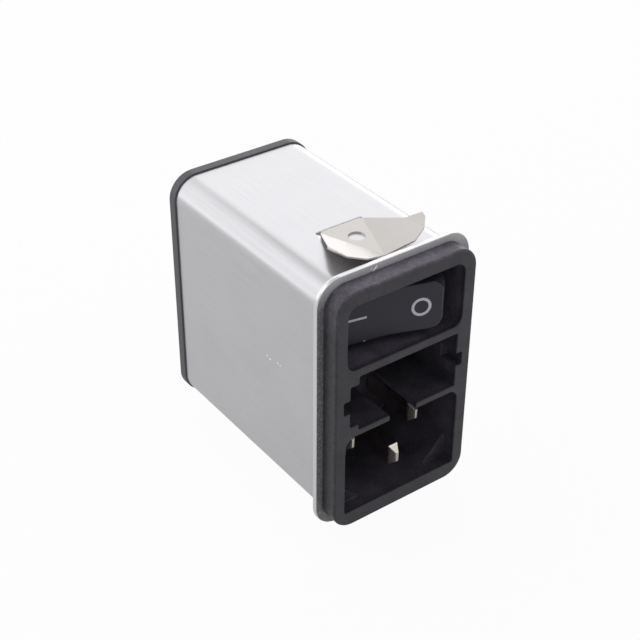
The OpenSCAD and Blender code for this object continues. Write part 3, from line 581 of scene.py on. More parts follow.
@dataclass(frozen=True)
class HousingPlastic(MouldedPlastic):
    """Plastic of the front housing, with scuffs, a less glossy slot and inlet, and painted light inside and
    up the walls.

    Attributes:
        inside: Depths between which the inside starts, in metres.
        reach: Half width and half height that the inside stays within, in metres.
        top: Heights between which the slot and the inlet give way to the switch recess, in metres.
        inner_gloss: Level of the inside's reflection.
        inside_painted_light: Tone of the slot and the inlet against the front face, lighter as painted light.
        painted_light_tone: Tone of the switch recess and the bezel's top wall against the front face, lighter
            as painted light.
        wall: Tone of the bezel's lower outer walls against the front face, below the painted light of their
            tops.
        painted_light_from: Height above which the outer walls turn paler with painted light, in metres.
        scuff: Size of a scuff in metres.
        scuff_tone: Least and most tone of the scuffs.
        edge: Distances from the bezel's outline between which its walls start, in metres.
        half: Half width and half height of the bezel in metres.
        corner: Corner radius of the bezel in metres.
    """

    inside: Pair = (-4.0 * MM, -3.2 * MM)
    reach: Pair = (12.4 * MM, 21.8 * MM)
    top: Pair = (8.0 * MM, 8.2 * MM)
    inner_gloss: float = 0.2
    inside_painted_light: float = 1.5
    painted_light_tone: float = 2.4
    wall: float = 0.8
    painted_light_from: float = 16.0 * MM
    scuff: float = 0.9 * MM
    scuff_tone: Pair = (0.75, 1.25)
    edge: Pair = (-0.5 * MM, -0.15 * MM)
    half: Pair = (1.0, 1.0)
    corner: float = 0.0

    def body(self, nodes: FinishNodes, share: Socket) -> Socket:
        """Gives the colour with its less glossy inside, painted light inside and up the outer walls, and
        scuffs.

        Args:
            nodes: Node tree to add to.
            share: Mottle from 0 to 1.

        Returns:
            The mottled colour.
        """
        place = nodes.axes()
        deep = nodes.share(place["Y"], self.inside)
        for axis, limit in zip("XZ", self.reach):
            within = nodes.math("LESS_THAN", nodes.math("ABSOLUTE", place[axis]), limit)
            deep = nodes.math("MULTIPLY", deep, within)
        nodes.shade(Specular_IOR_Level=nodes.spread(deep, (self.gloss, self.inner_gloss)))
        # The slot and the inlet, and more so the switch recess, are painted lighter as painted light
        inside_painted_light = nodes.spread(place["Z"], (self.inside_painted_light, self.painted_light_tone), self.top)
        edge = nodes.share(nodes.beyond(self.half, self.corner), self.edge)
        scuffs = nodes.noise(nodes.place(), self.scuff, detail=6.0)
        scuffs = nodes.spread(scuffs, self.scuff_tone, PATCHY_SPAN)
        # The outer walls are painted lighter towards the top as painted light, and are darker lower down
        pale = nodes.spread(place["Z"], (self.wall, self.painted_light_tone), (self.painted_light_from, self.half[1]))
        tone = nodes.between(edge, 1.0, nodes.math("MULTIPLY", scuffs, pale))
        return nodes.vector("SCALE", super().body(nodes, share), nodes.between(deep, tone, inside_painted_light))


@dataclass(frozen=True)
class PrintedInk(Finish):
    """Pad-printed ink, a little uneven.

    Attributes:
        patch: Size of its uneven patches in metres.
        depth: Height of those patches in metres.
        tones: Least and most tone against the main colour.
        roughness: Least and most roughness.
    """

    patch: float = 0.25 * MM
    depth: float = 0.004 * MM
    tones: Pair = (0.88, 1.06)
    roughness: Pair = (0.45, 0.6)

    def paint(self, nodes: FinishNodes) -> None:
        """Lays uneven ink."""
        patchy = nodes.noise(nodes.place(), self.patch, detail=3.0)
        colour = nodes.blend(nodes.share(patchy, PATCHY_SPAN), *map(self.tint, self.tones))
        nodes.shade(Base_Color=colour, Roughness=nodes.spread(patchy, self.roughness),
                    Normal=nodes.relief(patchy, self.depth))


@dataclass(frozen=True)
class Laminate(Finish):
    """Circuit board: woven glass under a lacquer.

    Attributes:
        weave: Width of one strand in metres.
        depth: Height of the strands in metres.
        cloud: Size of the large soft tone changes in metres.
        contrast: How far the tone departs from the main colour.
        wobble: How far the strands waver.
        roughness: Least and most roughness.
        coat: Weight and roughness of the clear lacquer.
    """

    weave: float = 0.5 * MM
    depth: float = 0.01 * MM
    cloud: float = 5 * MM
    contrast: float = 0.3
    wobble: float = 0.4
    roughness: Pair = (0.25, 0.4)
    coat: Pair = (0.4, 0.15)

    def paint(self, nodes: FinishNodes) -> None:
        """Crosses two sets of strands under a clear lacquer."""
        place = nodes.place()
        strands = [nodes.node("ShaderNodeTexWave", {
            "Vector": place, "Scale": WAVE_LENGTH / self.weave, "Distortion": self.wobble,
        }, bands_direction=axis).outputs["Fac"] for axis in ("X", "Z")]
        cloth = nodes.math("MULTIPLY", *strands)
        tone = nodes.between(0.5, cloth, nodes.noise(place, self.cloud, detail=3.0))
        nodes.shade(Base_Color=self.two_tone(nodes, tone, self.contrast),
                    Roughness=nodes.spread(tone, self.roughness), Coat_Weight=self.coat[0],
                    Coat_Roughness=self.coat[1], Normal=nodes.relief(cloth, self.depth))


@dataclass(frozen=True)
class DippedCoat(Finish):
    """Lacquer, epoxy or enamel over a body, with an uneven skin.

    Attributes:
        metal: How metallic the body under the coat is.
        lump: Size of the skin's lumps in metres.
        depth: Height of those lumps in metres.
        speckle: How far the tone of the speckle departs from the main colour.
        dot: Size of the speckle in metres.
        roughness: Least and most roughness.
        coat: Weight and roughness of the clear coat.
    """

    metal: float = 0.0
    lump: float = 0.8 * MM
    depth: float = 0.03 * MM
    speckle: float = 0.2
    dot: float = 0.12 * MM
    roughness: Pair = (0.25, 0.42)
    coat: Pair = (0.5, 0.12)

    def paint(self, nodes: FinishNodes) -> None:
        """Lays a lumpy coat with speckle."""
        lumps = nodes.noise(nodes.place(), self.lump)
        dots = nodes.share(nodes.noise(nodes.place(), self.dot, detail=4.0), NOISE_SPAN)
        nodes.shade(Base_Color=self.two_tone(nodes, dots, self.speckle), Metallic=self.metal,
                    Roughness=nodes.spread(lumps, self.roughness), Coat_Weight=self.coat[0],
                    Coat_Roughness=self.coat[1], Normal=nodes.relief(lumps, self.depth))


@dataclass(frozen=True)
class BandedBody(Finish):
    """Lacquered resistor with colour bands across its length.

    Attributes:
        start: Place of the body's first end along X, in metres.
        length: Length of the body in metres.
        band: Width of a band as a share of the length.
        bands: Place of each band as a share of the length, with its colour.
        lump: Size of the lacquer's lumps in metres.
        depth: Height of those lumps in metres.
        lump_tone: Tone of the lumps, and how far it shows.
        roughness: Least and most roughness.
        coat: Weight of the clear coat.
    """

    start: float = 0.0
    length: float = 1.0
    band: float = 0.07
    bands: tuple[tuple[float, Colour], ...] = ()
    lump: float = 0.5 * MM
    depth: float = 0.02 * MM
    lump_tone: Pair = (0.5, 0.25)
    roughness: Pair = (0.25, 0.4)
    coat: float = 0.4

    def paint(self, nodes: FinishNodes) -> None:
        """Paints the bands over the lacquer."""
        along = nodes.share(nodes.axes()["X"], (self.start, self.start + self.length))
        ramp = nodes.node("ShaderNodeValToRGB", {"Fac": along})
        ramp.color_ramp.interpolation = "CONSTANT"
        ramp.color_ramp.elements.remove(ramp.color_ramp.elements[1])
        ramp.color_ramp.elements[0].color = (*self.colour, 1.0)
        for where, colour in self.bands:
            ramp.color_ramp.elements.new(where).color = (*colour, 1.0)
            ramp.color_ramp.elements.new(where + self.band).color = (*self.colour, 1.0)
        lumps = nodes.noise(nodes.place(), self.lump)
        tone, most = self.lump_tone
        colour = nodes.blend(nodes.spread(lumps, (0.0, most)), ramp.outputs["Color"], self.tint(tone))
        nodes.shade(Base_Color=colour, Roughness=nodes.spread(lumps, self.roughness), Coat_Weight=self.coat,
                    Normal=nodes.relief(lumps, self.depth))


def resistor_finish() -> BandedBody:
    """Places the resistor's bands along the solid's own length.

    Returns:
        The resistor's finish.
    """
    low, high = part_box("bleed_resistor")
    black, red, yellow, gold = (0.02, 0.02, 0.02), (0.35, 0.02, 0.02), (0.5, 0.3, 0.01), (0.45, 0.3, 0.08)
    return BandedBody("lacquered_resistor", (0.5, 0.36, 0.2), start=low.x, length=high.x - low.x,
                      bands=((0.28, black), (0.4, red), (0.52, yellow), (0.68, gold)))


CAN_FLECKS = tuple(Patch((-14.4 * MM, y * MM, z * MM), (0.4 * MM, long * MM, 0.12 * MM)) for y, z, long in (
    (15.1, 2.25, 0.22), (14.2, 2.0, 0.26), (11.9, 2.5, 0.18), (11.2, 2.35, 0.14),
))
FLANGE_SCRATCHES = (
    Patch((-4.25 * MM, -1.0 * MM, 24.45 * MM), (0.7 * MM, 0.3 * MM, 0.15 * MM), (0.0, -40.0, 0.0)),
    Patch((-5.0 * MM, -1.0 * MM, 24.5 * MM), (0.35 * MM, 0.3 * MM, 0.08 * MM), (0.0, -30.0, 0.0)),
)
ROCKER_FLECK = Patch((-5.83 * MM, -0.72 * MM, 10.71 * MM), (0.2 * MM, 0.3 * MM, 0.34 * MM))
# Corner radii of the flange and the bezel, and length of the blades' dull tips
FLANGE_CORNER = 4.7 * MM
BEZEL_CORNER = 4.1 * MM
DULL_TIP = 1.5 * MM


def can_finish() -> FlangedSheet:
    """Gives the can's finish, with its rim and front face placed by the flange's own size."""
    low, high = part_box("can")
    return FlangedSheet("brushed_can", (0.7, 0.696, 0.72), (0.26, 0.36), Brush.DEPTH, line=0.16 * MM,
                        depth=0.0014 * MM, contrast=0.07, cloud=11 * MM, bright=CAN_FLECKS + FLANGE_SCRATCHES,
                        half=(high.x, high.z), corner=FLANGE_CORNER, front=low.y)


def housing_finish() -> HousingPlastic:
    """Gives the front housing's finish, with its scuffed walls placed by the bezel's own size."""
    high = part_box("front_housing")[1]
    return HousingPlastic("charcoal_housing", (0.05, 0.0455, 0.0585), (0.32, 0.42), grain=0.28 * MM,
                          depth=0.012 * MM, mottle=0.45, dust=0.12, half=(high.x, high.z),
                          corner=BEZEL_CORNER)


def blade_finish() -> BladeMetal:
    """Gives the blades' finish, with its dull tips placed by the blades' own ends."""
    ends = tuple(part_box(node)[0].y + DULL_TIP for node in ("line_pin", "earth_pin"))
    return BladeMetal("satin_nickel", (0.66, 0.615, 0.555), (0.18, 0.26), Brush.DEPTH, line=0.1 * MM,
                      depth=0.0003 * MM, contrast=0.06, tips=ends)


FINISHES: dict[str, Finish] = {
    "can_metal": can_finish(),
    "housing_plastic": housing_finish(),
    "cover_plastic": MouldedPlastic(
        "charcoal_cover", (0.098, 0.092, 0.109), (0.4, 0.52), dust=0.03, gloss=0.8),
    "rocker_plastic": MouldedPlastic(
        "rocker_satin", (0.041, 0.0395, 0.0545), (0.34, 0.44), grain=0.12 * MM, depth=0.0015 * MM,
        mottle=0.12, dust=0.02, gloss=0.4, marks=(ROCKER_FLECK,)),
    "spring_steel": SheetMetal(
        "rolled_spring", (0.74, 0.71, 0.685), (0.27, 0.3), line=3 * MM, depth=0.0, contrast=0.03, metal=0.5),
    "plated_pin": blade_finish(),
    "brass": SheetMetal("tinned_brass", (0.62, 0.5, 0.3), (0.24, 0.4), Brush.DEPTH, line=0.1 * MM),
    "contact_copper": SheetMetal("contact_copper", (0.62, 0.36, 0.2), (0.25, 0.4), Brush.WIDTH),
    "fuse_contact": SheetMetal("tinned_contact", (0.56, 0.52, 0.43), (0.25, 0.42), Brush.DEPTH),
    "earth_metal": SheetMetal("tinned_strap", (0.6, 0.58, 0.54), (0.28, 0.45)),
    "plunger_plastic": MouldedPlastic("ivory_plunger", (0.72, 0.7, 0.64), (0.3, 0.4), mottle=0.05),
    "base_plastic": MouldedPlastic(
        "phenolic_base", (0.26, 0.08, 0.05), (0.45, 0.6), grain=0.3 * MM, depth=0.006 * MM, mottle=0.25),
    "line_insulation": MouldedPlastic("brown_insulation", (0.17, 0.075, 0.035), (0.35, 0.5)),
    "neutral_insulation": MouldedPlastic("blue_insulation", (0.045, 0.1, 0.34), (0.35, 0.5)),
    "board": Laminate("board_laminate", (0.05, 0.15, 0.08)),
    "ferrite": DippedCoat("coated_core", (0.06, 0.15, 0.11), lump=1.2 * MM, speckle=0.3),
    "enamelled_wire": DippedCoat(
        "enamelled_wire", (0.5, 0.19, 0.07), metal=0.85, lump=2 * MM, depth=0.01 * MM, speckle=0.08),
    "capacitor_film": MouldedPlastic(
        "film_case", (0.5, 0.38, 0.06), (0.25, 0.4), grain=0.4 * MM, mottle=0.08),
    "capacitor_disc": DippedCoat("dipped_disc", (0.035, 0.11, 0.38), depth=0.05 * MM),
    "resistor": resistor_finish(),
}
MARK_INK = PrintedInk("mark_ink", (0.84, 0.87, 1.0))
SOLDER = SheetMetal("solder", (0.6, 0.6, 0.58), (0.2, 0.35), line=0.3 * MM, depth=0.01 * MM)


# Meshes

class ShapeTree(NodeTree):
    """Geometry Nodes tree with named sizes, ending in Realize Instances and Set Material."""

    def __init__(self, name: str, sizes: dict[str, float]) -> None:
        """Starts a tree.

        Args:
            name: Name of the tree.
            sizes: Named inputs and their values.
        """
        super().__init__(bpy.data.node_groups.new(name, "GeometryNodeTree"))
        self._sizes = sizes
        for way in ("INPUT", "OUTPUT"):
            self.tree.interface.new_socket("Geometry", in_out=way, socket_type="NodeSocketGeometry")
        for label in sizes:
            self.tree.interface.new_socket(label, in_out="INPUT", socket_type="NodeSocketFloat")
        self._entry = self.node("NodeGroupInput")

    def size(self, label: str) -> Socket:
        """Gives a named input, or the geometry that comes in."""
        return self._entry.outputs[label]

    def join(self, *shapes: Socket) -> Socket:
        """Joins geometries.

        Args:
            shapes: Geometries to join.

        Returns:
            All of them as one geometry.
        """
        whole = self.node("GeometryNodeJoinGeometry")
        for shape in shapes:
            self.feed(whole.inputs["Geometry"], shape)
        return whole.outputs["Geometry"]

    def tube(self, curve: Socket, radius: Socket, sides: int) -> Socket:
        """Gives a capped round wire along a curve.

        Args:
            curve: Curve to follow.
            radius: Radius of the wire.
            sides: Sides of its section.

        Returns:
            The wire's mesh.
        """
        section = self.node("GeometryNodeCurvePrimitiveCircle", {"Resolution": sides, "Radius": radius})
        swept = self.node("GeometryNodeCurveToMesh", {
            "Curve": curve, "Profile Curve": section.outputs["Curve"], "Fill Caps": True,
        })
        return swept.outputs["Mesh"]

    def mesh(self, shape: Socket, finish: Finish, points: list[Vector]) -> bpy.types.Mesh:
        """Closes the tree and turns what it makes into a plain mesh.

        Args:
            shape: Geometry that the tree makes.
            finish: Finish of that geometry.
            points: Points that the tree starts from.

        Returns:
            The plain mesh.
        """
        whole = self.node("GeometryNodeRealizeInstances", {"Geometry": shape})
        dressed = self.node("GeometryNodeSetMaterial", {
            "Geometry": whole.outputs["Geometry"], "Material": finish.material(),
        })
        self.node("NodeGroupOutput", {"Geometry": dressed.outputs["Geometry"]})
        start = bpy.data.meshes.new(self.tree.name)
        start.from_pydata(points, [], [])
        carrier = bpy.data.objects.new(self.tree.name, start)
        bpy.context.scene.collection.objects.link(carrier)
        maker = carrier.modifiers.new("shape", "NODES")
        maker.node_group = self.tree
        for item in self.tree.interface.items_tree:
            if item.in_out == "INPUT" and item.name in self._sizes:
                maker[item.identifier] = self._sizes[item.name]
        made = bpy.data.meshes.new_from_object(carrier.evaluated_get(bpy.context.evaluated_depsgraph_get()))
        bpy.data.objects.remove(carrier)
        return made


def add_piece(name: str, mesh: bpy.types.Mesh, finish: Finish) -> bpy.types.Object:
    """Puts a mesh in the scene as a piece, smooth and with one material.

    Args:
        name: Name of the piece.
        mesh: Its mesh, already in place.
        finish: Its finish.

    Returns:
        The new object, at the origin.
    """
    mesh.name = name
    mesh.materials.clear()
    mesh.materials.append(finish.material())
    mesh.shade_smooth()
    piece = bpy.data.objects.new(name, mesh)
    bpy.context.scene.collection.objects.link(piece)
    return piece


def middle_and_size(node: str) -> tuple[Vector, Vector]:
    """Gives the middle of a CAD node's box and the box's size."""
    low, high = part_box(node)
    return (low + high) / 2, high - low


def merged_copy(node: str) -> bpy.types.Mesh:
    """Copies a CAD node's mesh with its triangles joined and its flat faces made whole.

    Args:
        node: CAD node to copy.

    Returns:
        The new mesh.
    """
    mesh = frame["nodes"][node].data.copy()
    work = bmesh.new()
    work.from_mesh(mesh)
    bmesh.ops.remove_doubles(work, verts=work.verts, dist=SAME_POINT)
    bmesh.ops.dissolve_limit(work, angle_limit=FLAT, verts=work.verts, edges=work.edges)
    bmesh.ops.connect_verts_concave(work, faces=work.faces)
    work.to_mesh(mesh)
    work.free()
    return mesh


def mark_folds(mesh: bpy.types.Mesh, low: float, high: float) -> None:
    """Marks the edges of a mesh that show as crisp folds.

    Args:
        mesh: Mesh to mark.
        low: Smallest angle of a fold in radians.
        high: Angle in radians from which an edge is rounded instead.
    """
    work = bmesh.new()
    work.from_mesh(mesh)
    for edge in work.edges:
        edge.smooth = not (edge.is_manifold and low <= edge.calc_face_angle() < high)
    work.to_mesh(mesh)
    work.free()


def finish_modifiers(piece: bpy.types.Object) -> None:
    """Turns a piece's modifiers into plain mesh.

    Args:
        piece: Piece to finish.
    """
    shaped = piece.evaluated_get(bpy.context.evaluated_depsgraph_get())
    rough = piece.data
    made = bpy.data.meshes.new_from_object(shaped)
    piece.modifiers.clear()
    piece.data = made
    bpy.data.meshes.remove(rough)
    made.name = piece.name


@dataclass
class SubAssembly:
    """Group of pieces that is built and dressed together.

    Attributes:
        least: Smallest angle between faces whose edge is rounded, in radians.
        wire_sides: Facets around a wire.
        pieces: What it has built so far.
    """

    least: ClassVar[float] = math.radians(30.0)
    wire_sides: ClassVar[int] = 12
    pieces: list[bpy.types.Object] = field(default_factory=list, init=False)

    def build(self) -> None:
        """Builds and dresses the group's pieces."""
        raise NotImplementedError

    def softened(self, node: str, name: str, edge: float, steps: int = 2,
                 fold: float = 30.0) -> bpy.types.Object:
        """Stands a copy with rounded edges in for a CAD node.

        Args:
            node: CAD node to stand for.
            name: Name of the new piece.
            edge: Width of the rounding in metres.
            steps: Facets across the rounding.
            fold: Smallest angle between faces that shows as a crisp fold, in degrees.

        Returns:
            The finished piece.
        """
        mesh = merged_copy(node)
        piece = add_piece(name, mesh, FINISHES[SLOT_OF[node]])
        mark_folds(mesh, math.radians(fold), self.least)
        bevel = piece.modifiers.new("edges", "BEVEL")
        bevel.width = edge
        bevel.segments = steps
        bevel.limit_method = "ANGLE"
        bevel.angle_limit = self.least
        bevel.use_clamp_overlap = False
        bevel.miter_outer = "MITER_ARC"
        bevel.face_strength_mode = "FSTR_ALL"
        normals = piece.modifiers.new("normals", "WEIGHTED_NORMAL")
        normals.keep_sharp = True
        normals.use_face_influence = True
        finish_modifiers(piece)
        return self.keep(piece, node)

    def wind(self, node: str, name: str, tree: ShapeTree, path: Socket, place: Matrix) -> None:
        """Stands a round wire along a curve in for a CAD node.

        Args:
            node: CAD node to stand for.
            name: Name of the new piece.
            tree: Tree that makes the curve and has a size named Wire.
            path: The curve.
            place: Frame that the curve is drawn in.
        """
        finish = FINISHES[SLOT_OF[node]]
        mesh = tree.mesh(tree.tube(path, tree.size("Wire"), self.wire_sides), finish, [Vector()])
        mesh.transform(place)
        self.keep(add_piece(name, mesh, finish), node)

    def keep(self, piece: bpy.types.Object, *nodes: str) -> bpy.types.Object:
        """Ties a new piece to the CAD nodes that it stands for.

        Args:
            piece: The new piece.
            nodes: CAD nodes of one body.

        Returns:
            The piece.
        """
        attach(piece, BODY_OF[nodes[0]])
        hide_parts(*nodes)
        self.pieces.append(piece)
        return piece

    def dress(self, *nodes: str) -> None:
        """Gives CAD nodes that keep their own shape their finish.

        Args:
            nodes: CAD nodes to dress.
        """
        for node in nodes:
            shown = frame["nodes"][node]
            for place in shown.material_slots:
                place.material = FINISHES[SLOT_OF[node]].material()
            self.pieces.append(shown)


# Sub-assemblies

@dataclass
class Casing(SubAssembly):
    """Flanged can, rear cover and the rivet that earths the can.

    Attributes:
        sheet_edge: Rounding of the can's sheet edges in metres.
        cover_edge: Rounding of the rear cover's edges in metres.
        rivet_edge: Rounding of the rivet's heads in metres.
    """

    sheet_edge: float = 0.16 * MM
    cover_edge: float = 0.12 * MM
    rivet_edge: float = 0.2 * MM

    def build(self) -> None:
        """Builds the can, the cover and the rivet."""
        self.softened("can", "can_shell", self.sheet_edge)
        self.softened("rear_cover", "rear_cover_plate", self.cover_edge, steps=3)
        self.softened("earth_rivet", "can_rivet", self.rivet_edge, steps=3)


@dataclass
class FrontMoulding(SubAssembly):
    """Black housing with the bezel and its three openings.

    Attributes:
        edge: Rounding of the openings' edges in metres.
    """

    edge: float = 0.22 * MM

    def build(self) -> None:
        """Builds the housing."""
        self.softened("front_housing", "housing_moulding", self.edge)


@dataclass
class SnapClips(SubAssembly):
    """Stamped springs that hold the module in its panel.

    Attributes:
        fold: Smallest angle of a crisp fold in degrees.
    """

    fold: float = 12.0

    def build(self) -> None:
        """Builds both springs, with the crisp edges of a stamping."""
        for side in ("top", "bottom"):
            node = f"{side}_spring_clip"
            spring = add_piece(f"{side}_snap_spring", merged_copy(node), FINISHES[SLOT_OF[node]])
            spring.data.set_sharp_from_angle(angle=math.radians(self.fold))
            self.keep(spring, node)


@dataclass
class MainsInlet(SubAssembly):
    """Inlet pins, their links and the earth strap.

    Attributes:
        edge: Rounding of the pins' edges in metres.
    """

    edge: float = 0.06 * MM

    def build(self) -> None:
        """Builds the pins and dresses what is behind them."""
        for pole in ("line", "neutral", "earth"):
            self.softened(f"{pole}_pin", f"{pole}_blade", self.edge)
        self.dress("line_inlet_link", "neutral_inlet_link", "earth_strap")


@dataclass
class FuseHolder(SubAssembly):
    """Leaf contacts in the open fuse slot.

    Attributes:
        edge: Rounding of the leaves' edges in metres.
        fold: Smallest angle of a crisp fold in degrees.
    """

    edge: float = 0.08 * MM
    fold: float = 12.0

    def build(self) -> None:
        """Builds the four leaves and dresses the links to the switch."""
        for pole in ("line", "neutral"):
            for end in ("in", "out"):
                self.softened(f"{pole}_clip_{end}", f"{pole}_fuse_leaf_{end}", self.edge, fold=self.fold)
        self.dress("line_switch_link", "neutral_switch_link")


@dataclass
class RockerSwitch(SubAssembly):
    """Rocker with its printed marks, and the switch works behind it.

    Attributes:
        edge: Rounding of the rocker's edges in metres.
        ring_place: Place of the round mark along and across the face from its middle, in metres.
        bar_place: Place of the straight mark along and across the face from its middle, in metres.
        ring_outer: Outside radius of the round mark in metres.
        ink_line: Width of the round mark's line in metres.
        bar_length: Length of the straight mark in metres.
        bar_width: Width of the straight mark in metres.
        ink_height: How far the ink stands out in metres.
        ring_sides: Facets around the round mark.
        ink_fold: Smallest angle of a crisp edge of the ink, in degrees.
        spring_turns: Turns of the plunger springs.
        spring_wire: Radius of their wire in metres.
        turn_steps: Points along one of those turns.
    """

    edge: float = 0.3 * MM
    ring_place: Pair = (5.56 * MM, 0.08 * MM)
    bar_place: Pair = (-5.85 * MM, 0.26 * MM)
    ring_outer: float = 1.74 * MM
    ink_line: float = 0.5 * MM
    bar_length: float = 3.6 * MM
    bar_width: float = 0.42 * MM
    ink_height: float = 0.02 * MM
    ring_sides: int = 72
    ink_fold: float = 30.0
    spring_turns: float = 4.0
    spring_wire: float = 0.15 * MM
    turn_steps: int = 28

    def build(self) -> None:
        """Builds the rocker, its marks and springs, and dresses the works."""
        self.softened("rocker", "rocker_cap", self.edge, steps=3)
        self.print_mark("off_mark", self.ring(), self.ring_place)
        self.print_mark("on_mark", self.bar(), self.bar_place)
        for pole in ("line", "neutral"):
            self.coil(pole)
            self.dress(f"{pole}_plunger", f"{pole}_contact", f"{pole}_common", f"{pole}_fixed")
        self.dress("switch_base")

    def pivot(self) -> Matrix:
        """Finds the rocker's own frame at rest.

        Returns:
            Frame at its pivot, turned by half the switch's travel.
        """
        hinge = next(joint for joint in RECORD["behaviour"]["joints"] if joint["name"] == "rocker_tilt")
        half = math.radians((hinge["range_deg"][1] - hinge["range_deg"][0]) / 2)
        return Matrix.Translation(hinge["pos_m"]) @ Matrix.Rotation(-half, 4, "Z")

    def own_points(self, node: str) -> list[Vector]:
        """Gives the points of a CAD node in the rocker's own frame."""
        into = self.pivot().inverted()
        return [into @ vertex.co for vertex in frame["nodes"][node].data.vertices]

    def ring(self) -> bmesh.types.BMesh:
        """Draws the round mark.

        Returns:
            The mark, flat about the origin and facing +Z.
        """
        work = bmesh.new()
        loops = []
        for radius in (self.ring_outer, self.ring_outer - self.ink_line):
            angles = [math.tau * step / self.ring_sides for step in range(self.ring_sides)]
            loops.append([work.verts.new((radius * math.cos(a), radius * math.sin(a), 0.0)) for a in angles])
        for step in range(self.ring_sides):
            after = (step + 1) % self.ring_sides
            work.faces.new((loops[0][step], loops[0][after], loops[1][after], loops[1][step]))
        return work

    def bar(self) -> bmesh.types.BMesh:
        """Draws the straight mark with softened corners.

        Returns:
            The mark, flat about the origin and facing +Z.
        """
        work = bmesh.new()
        x, y = self.bar_length / 2, self.bar_width / 2
        cut = y / 2
        outline = [(x, y - cut), (x - cut, y), (cut - x, y), (-x, y - cut),
                   (-x, cut - y), (cut - x, -y), (x - cut, -y), (x, cut - y)]
        work.faces.new([work.verts.new((*point, 0.0)) for point in outline])
        return work

    def print_mark(self, name: str, flat: bmesh.types.BMesh, place: Pair) -> None:
        """Lays a flat mark on one half of the rocker's face.

        Args:
            name: Name of the piece.
            flat: The mark, facing +Z. It is used up.
            place: Place along and across the face from its middle, in metres.
        """
        solid = bmesh.ops.extrude_face_region(flat, geom=flat.faces[:])
        raised = [item for item in solid["geom"] if isinstance(item, bmesh.types.BMVert)]
        bmesh.ops.translate(flat, verts=raised, vec=(0.0, 0.0, self.ink_height))
        bmesh.ops.recalc_face_normals(flat, faces=flat.faces)
        flat.transform(self.face_frame(*place))
        mesh = bpy.data.meshes.new(name)
        flat.to_mesh(mesh)
        flat.free()
        piece = add_piece(name, mesh, MARK_INK)
        mesh.set_sharp_from_angle(angle=math.radians(self.ink_fold))
        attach(piece, BODY_OF["rocker"])
        self.pieces.append(piece)

    def face_frame(self, reach: float, lift: float) -> Matrix:
        """Gives the frame of one half of the rocker's face, with +Z out of the face.

        Args:
            reach: Distance along the face from its middle in metres, below 0 for the pressed half.
            lift: Height above the middle in metres.

        Returns:
            Frame at the mark's place.
        """
        side = math.copysign(1.0, reach)
        points = self.own_points("rocker")
        middle = min(points, key=lambda point: (abs(point.x), point.y))
        corner = min((point for point in points if point.x * side > 0), key=lambda point: point.y)
        along = Vector((corner.x - middle.x, corner.y - middle.y, 0.0)).normalized() * side
        out = Vector((along.y, -along.x, 0.0))
        place = Vector((0.0, middle.y, lift)) + along * reach
        turn = Matrix((along, out.cross(along), out)).transposed().to_4x4()
        return self.pivot() @ Matrix.Translation(place) @ turn

    def coil(self, pole: str) -> None:
        """Builds the spring behind one plunger, fitted to its CAD solid.

        Args:
            pole: Name of the switch's pole.
        """
        node = f"{pole}_spring"
        points = self.own_points(node)
        low = Vector(min(point[axis] for point in points) for axis in range(3))
        high = Vector(max(point[axis] for point in points) for axis in range(3))
        wire = self.spring_wire
        tree = ShapeTree(f"{pole}_coil", {
            "Turns": self.spring_turns, "Radius": (high.x - low.x) / 2 - wire,
            "Height": high.y - low.y - 2 * wire, "Wire": wire,
        })
        path = tree.node("GeometryNodeCurveSpiral", {
            "Resolution": self.turn_steps, "Rotations": tree.size("Turns"), "Height": tree.size("Height"),
            "Start Radius": tree.size("Radius"), "End Radius": tree.size("Radius"),
        })
        foot = Matrix.Translation((0.0, low.y + wire, (low.z + high.z) / 2))
        upright = self.pivot() @ foot @ Matrix.Rotation(-math.pi / 2, 4, "X")
        self.wind(node, f"{pole}_plunger_coil", tree, path.outputs["Curve"], upright)


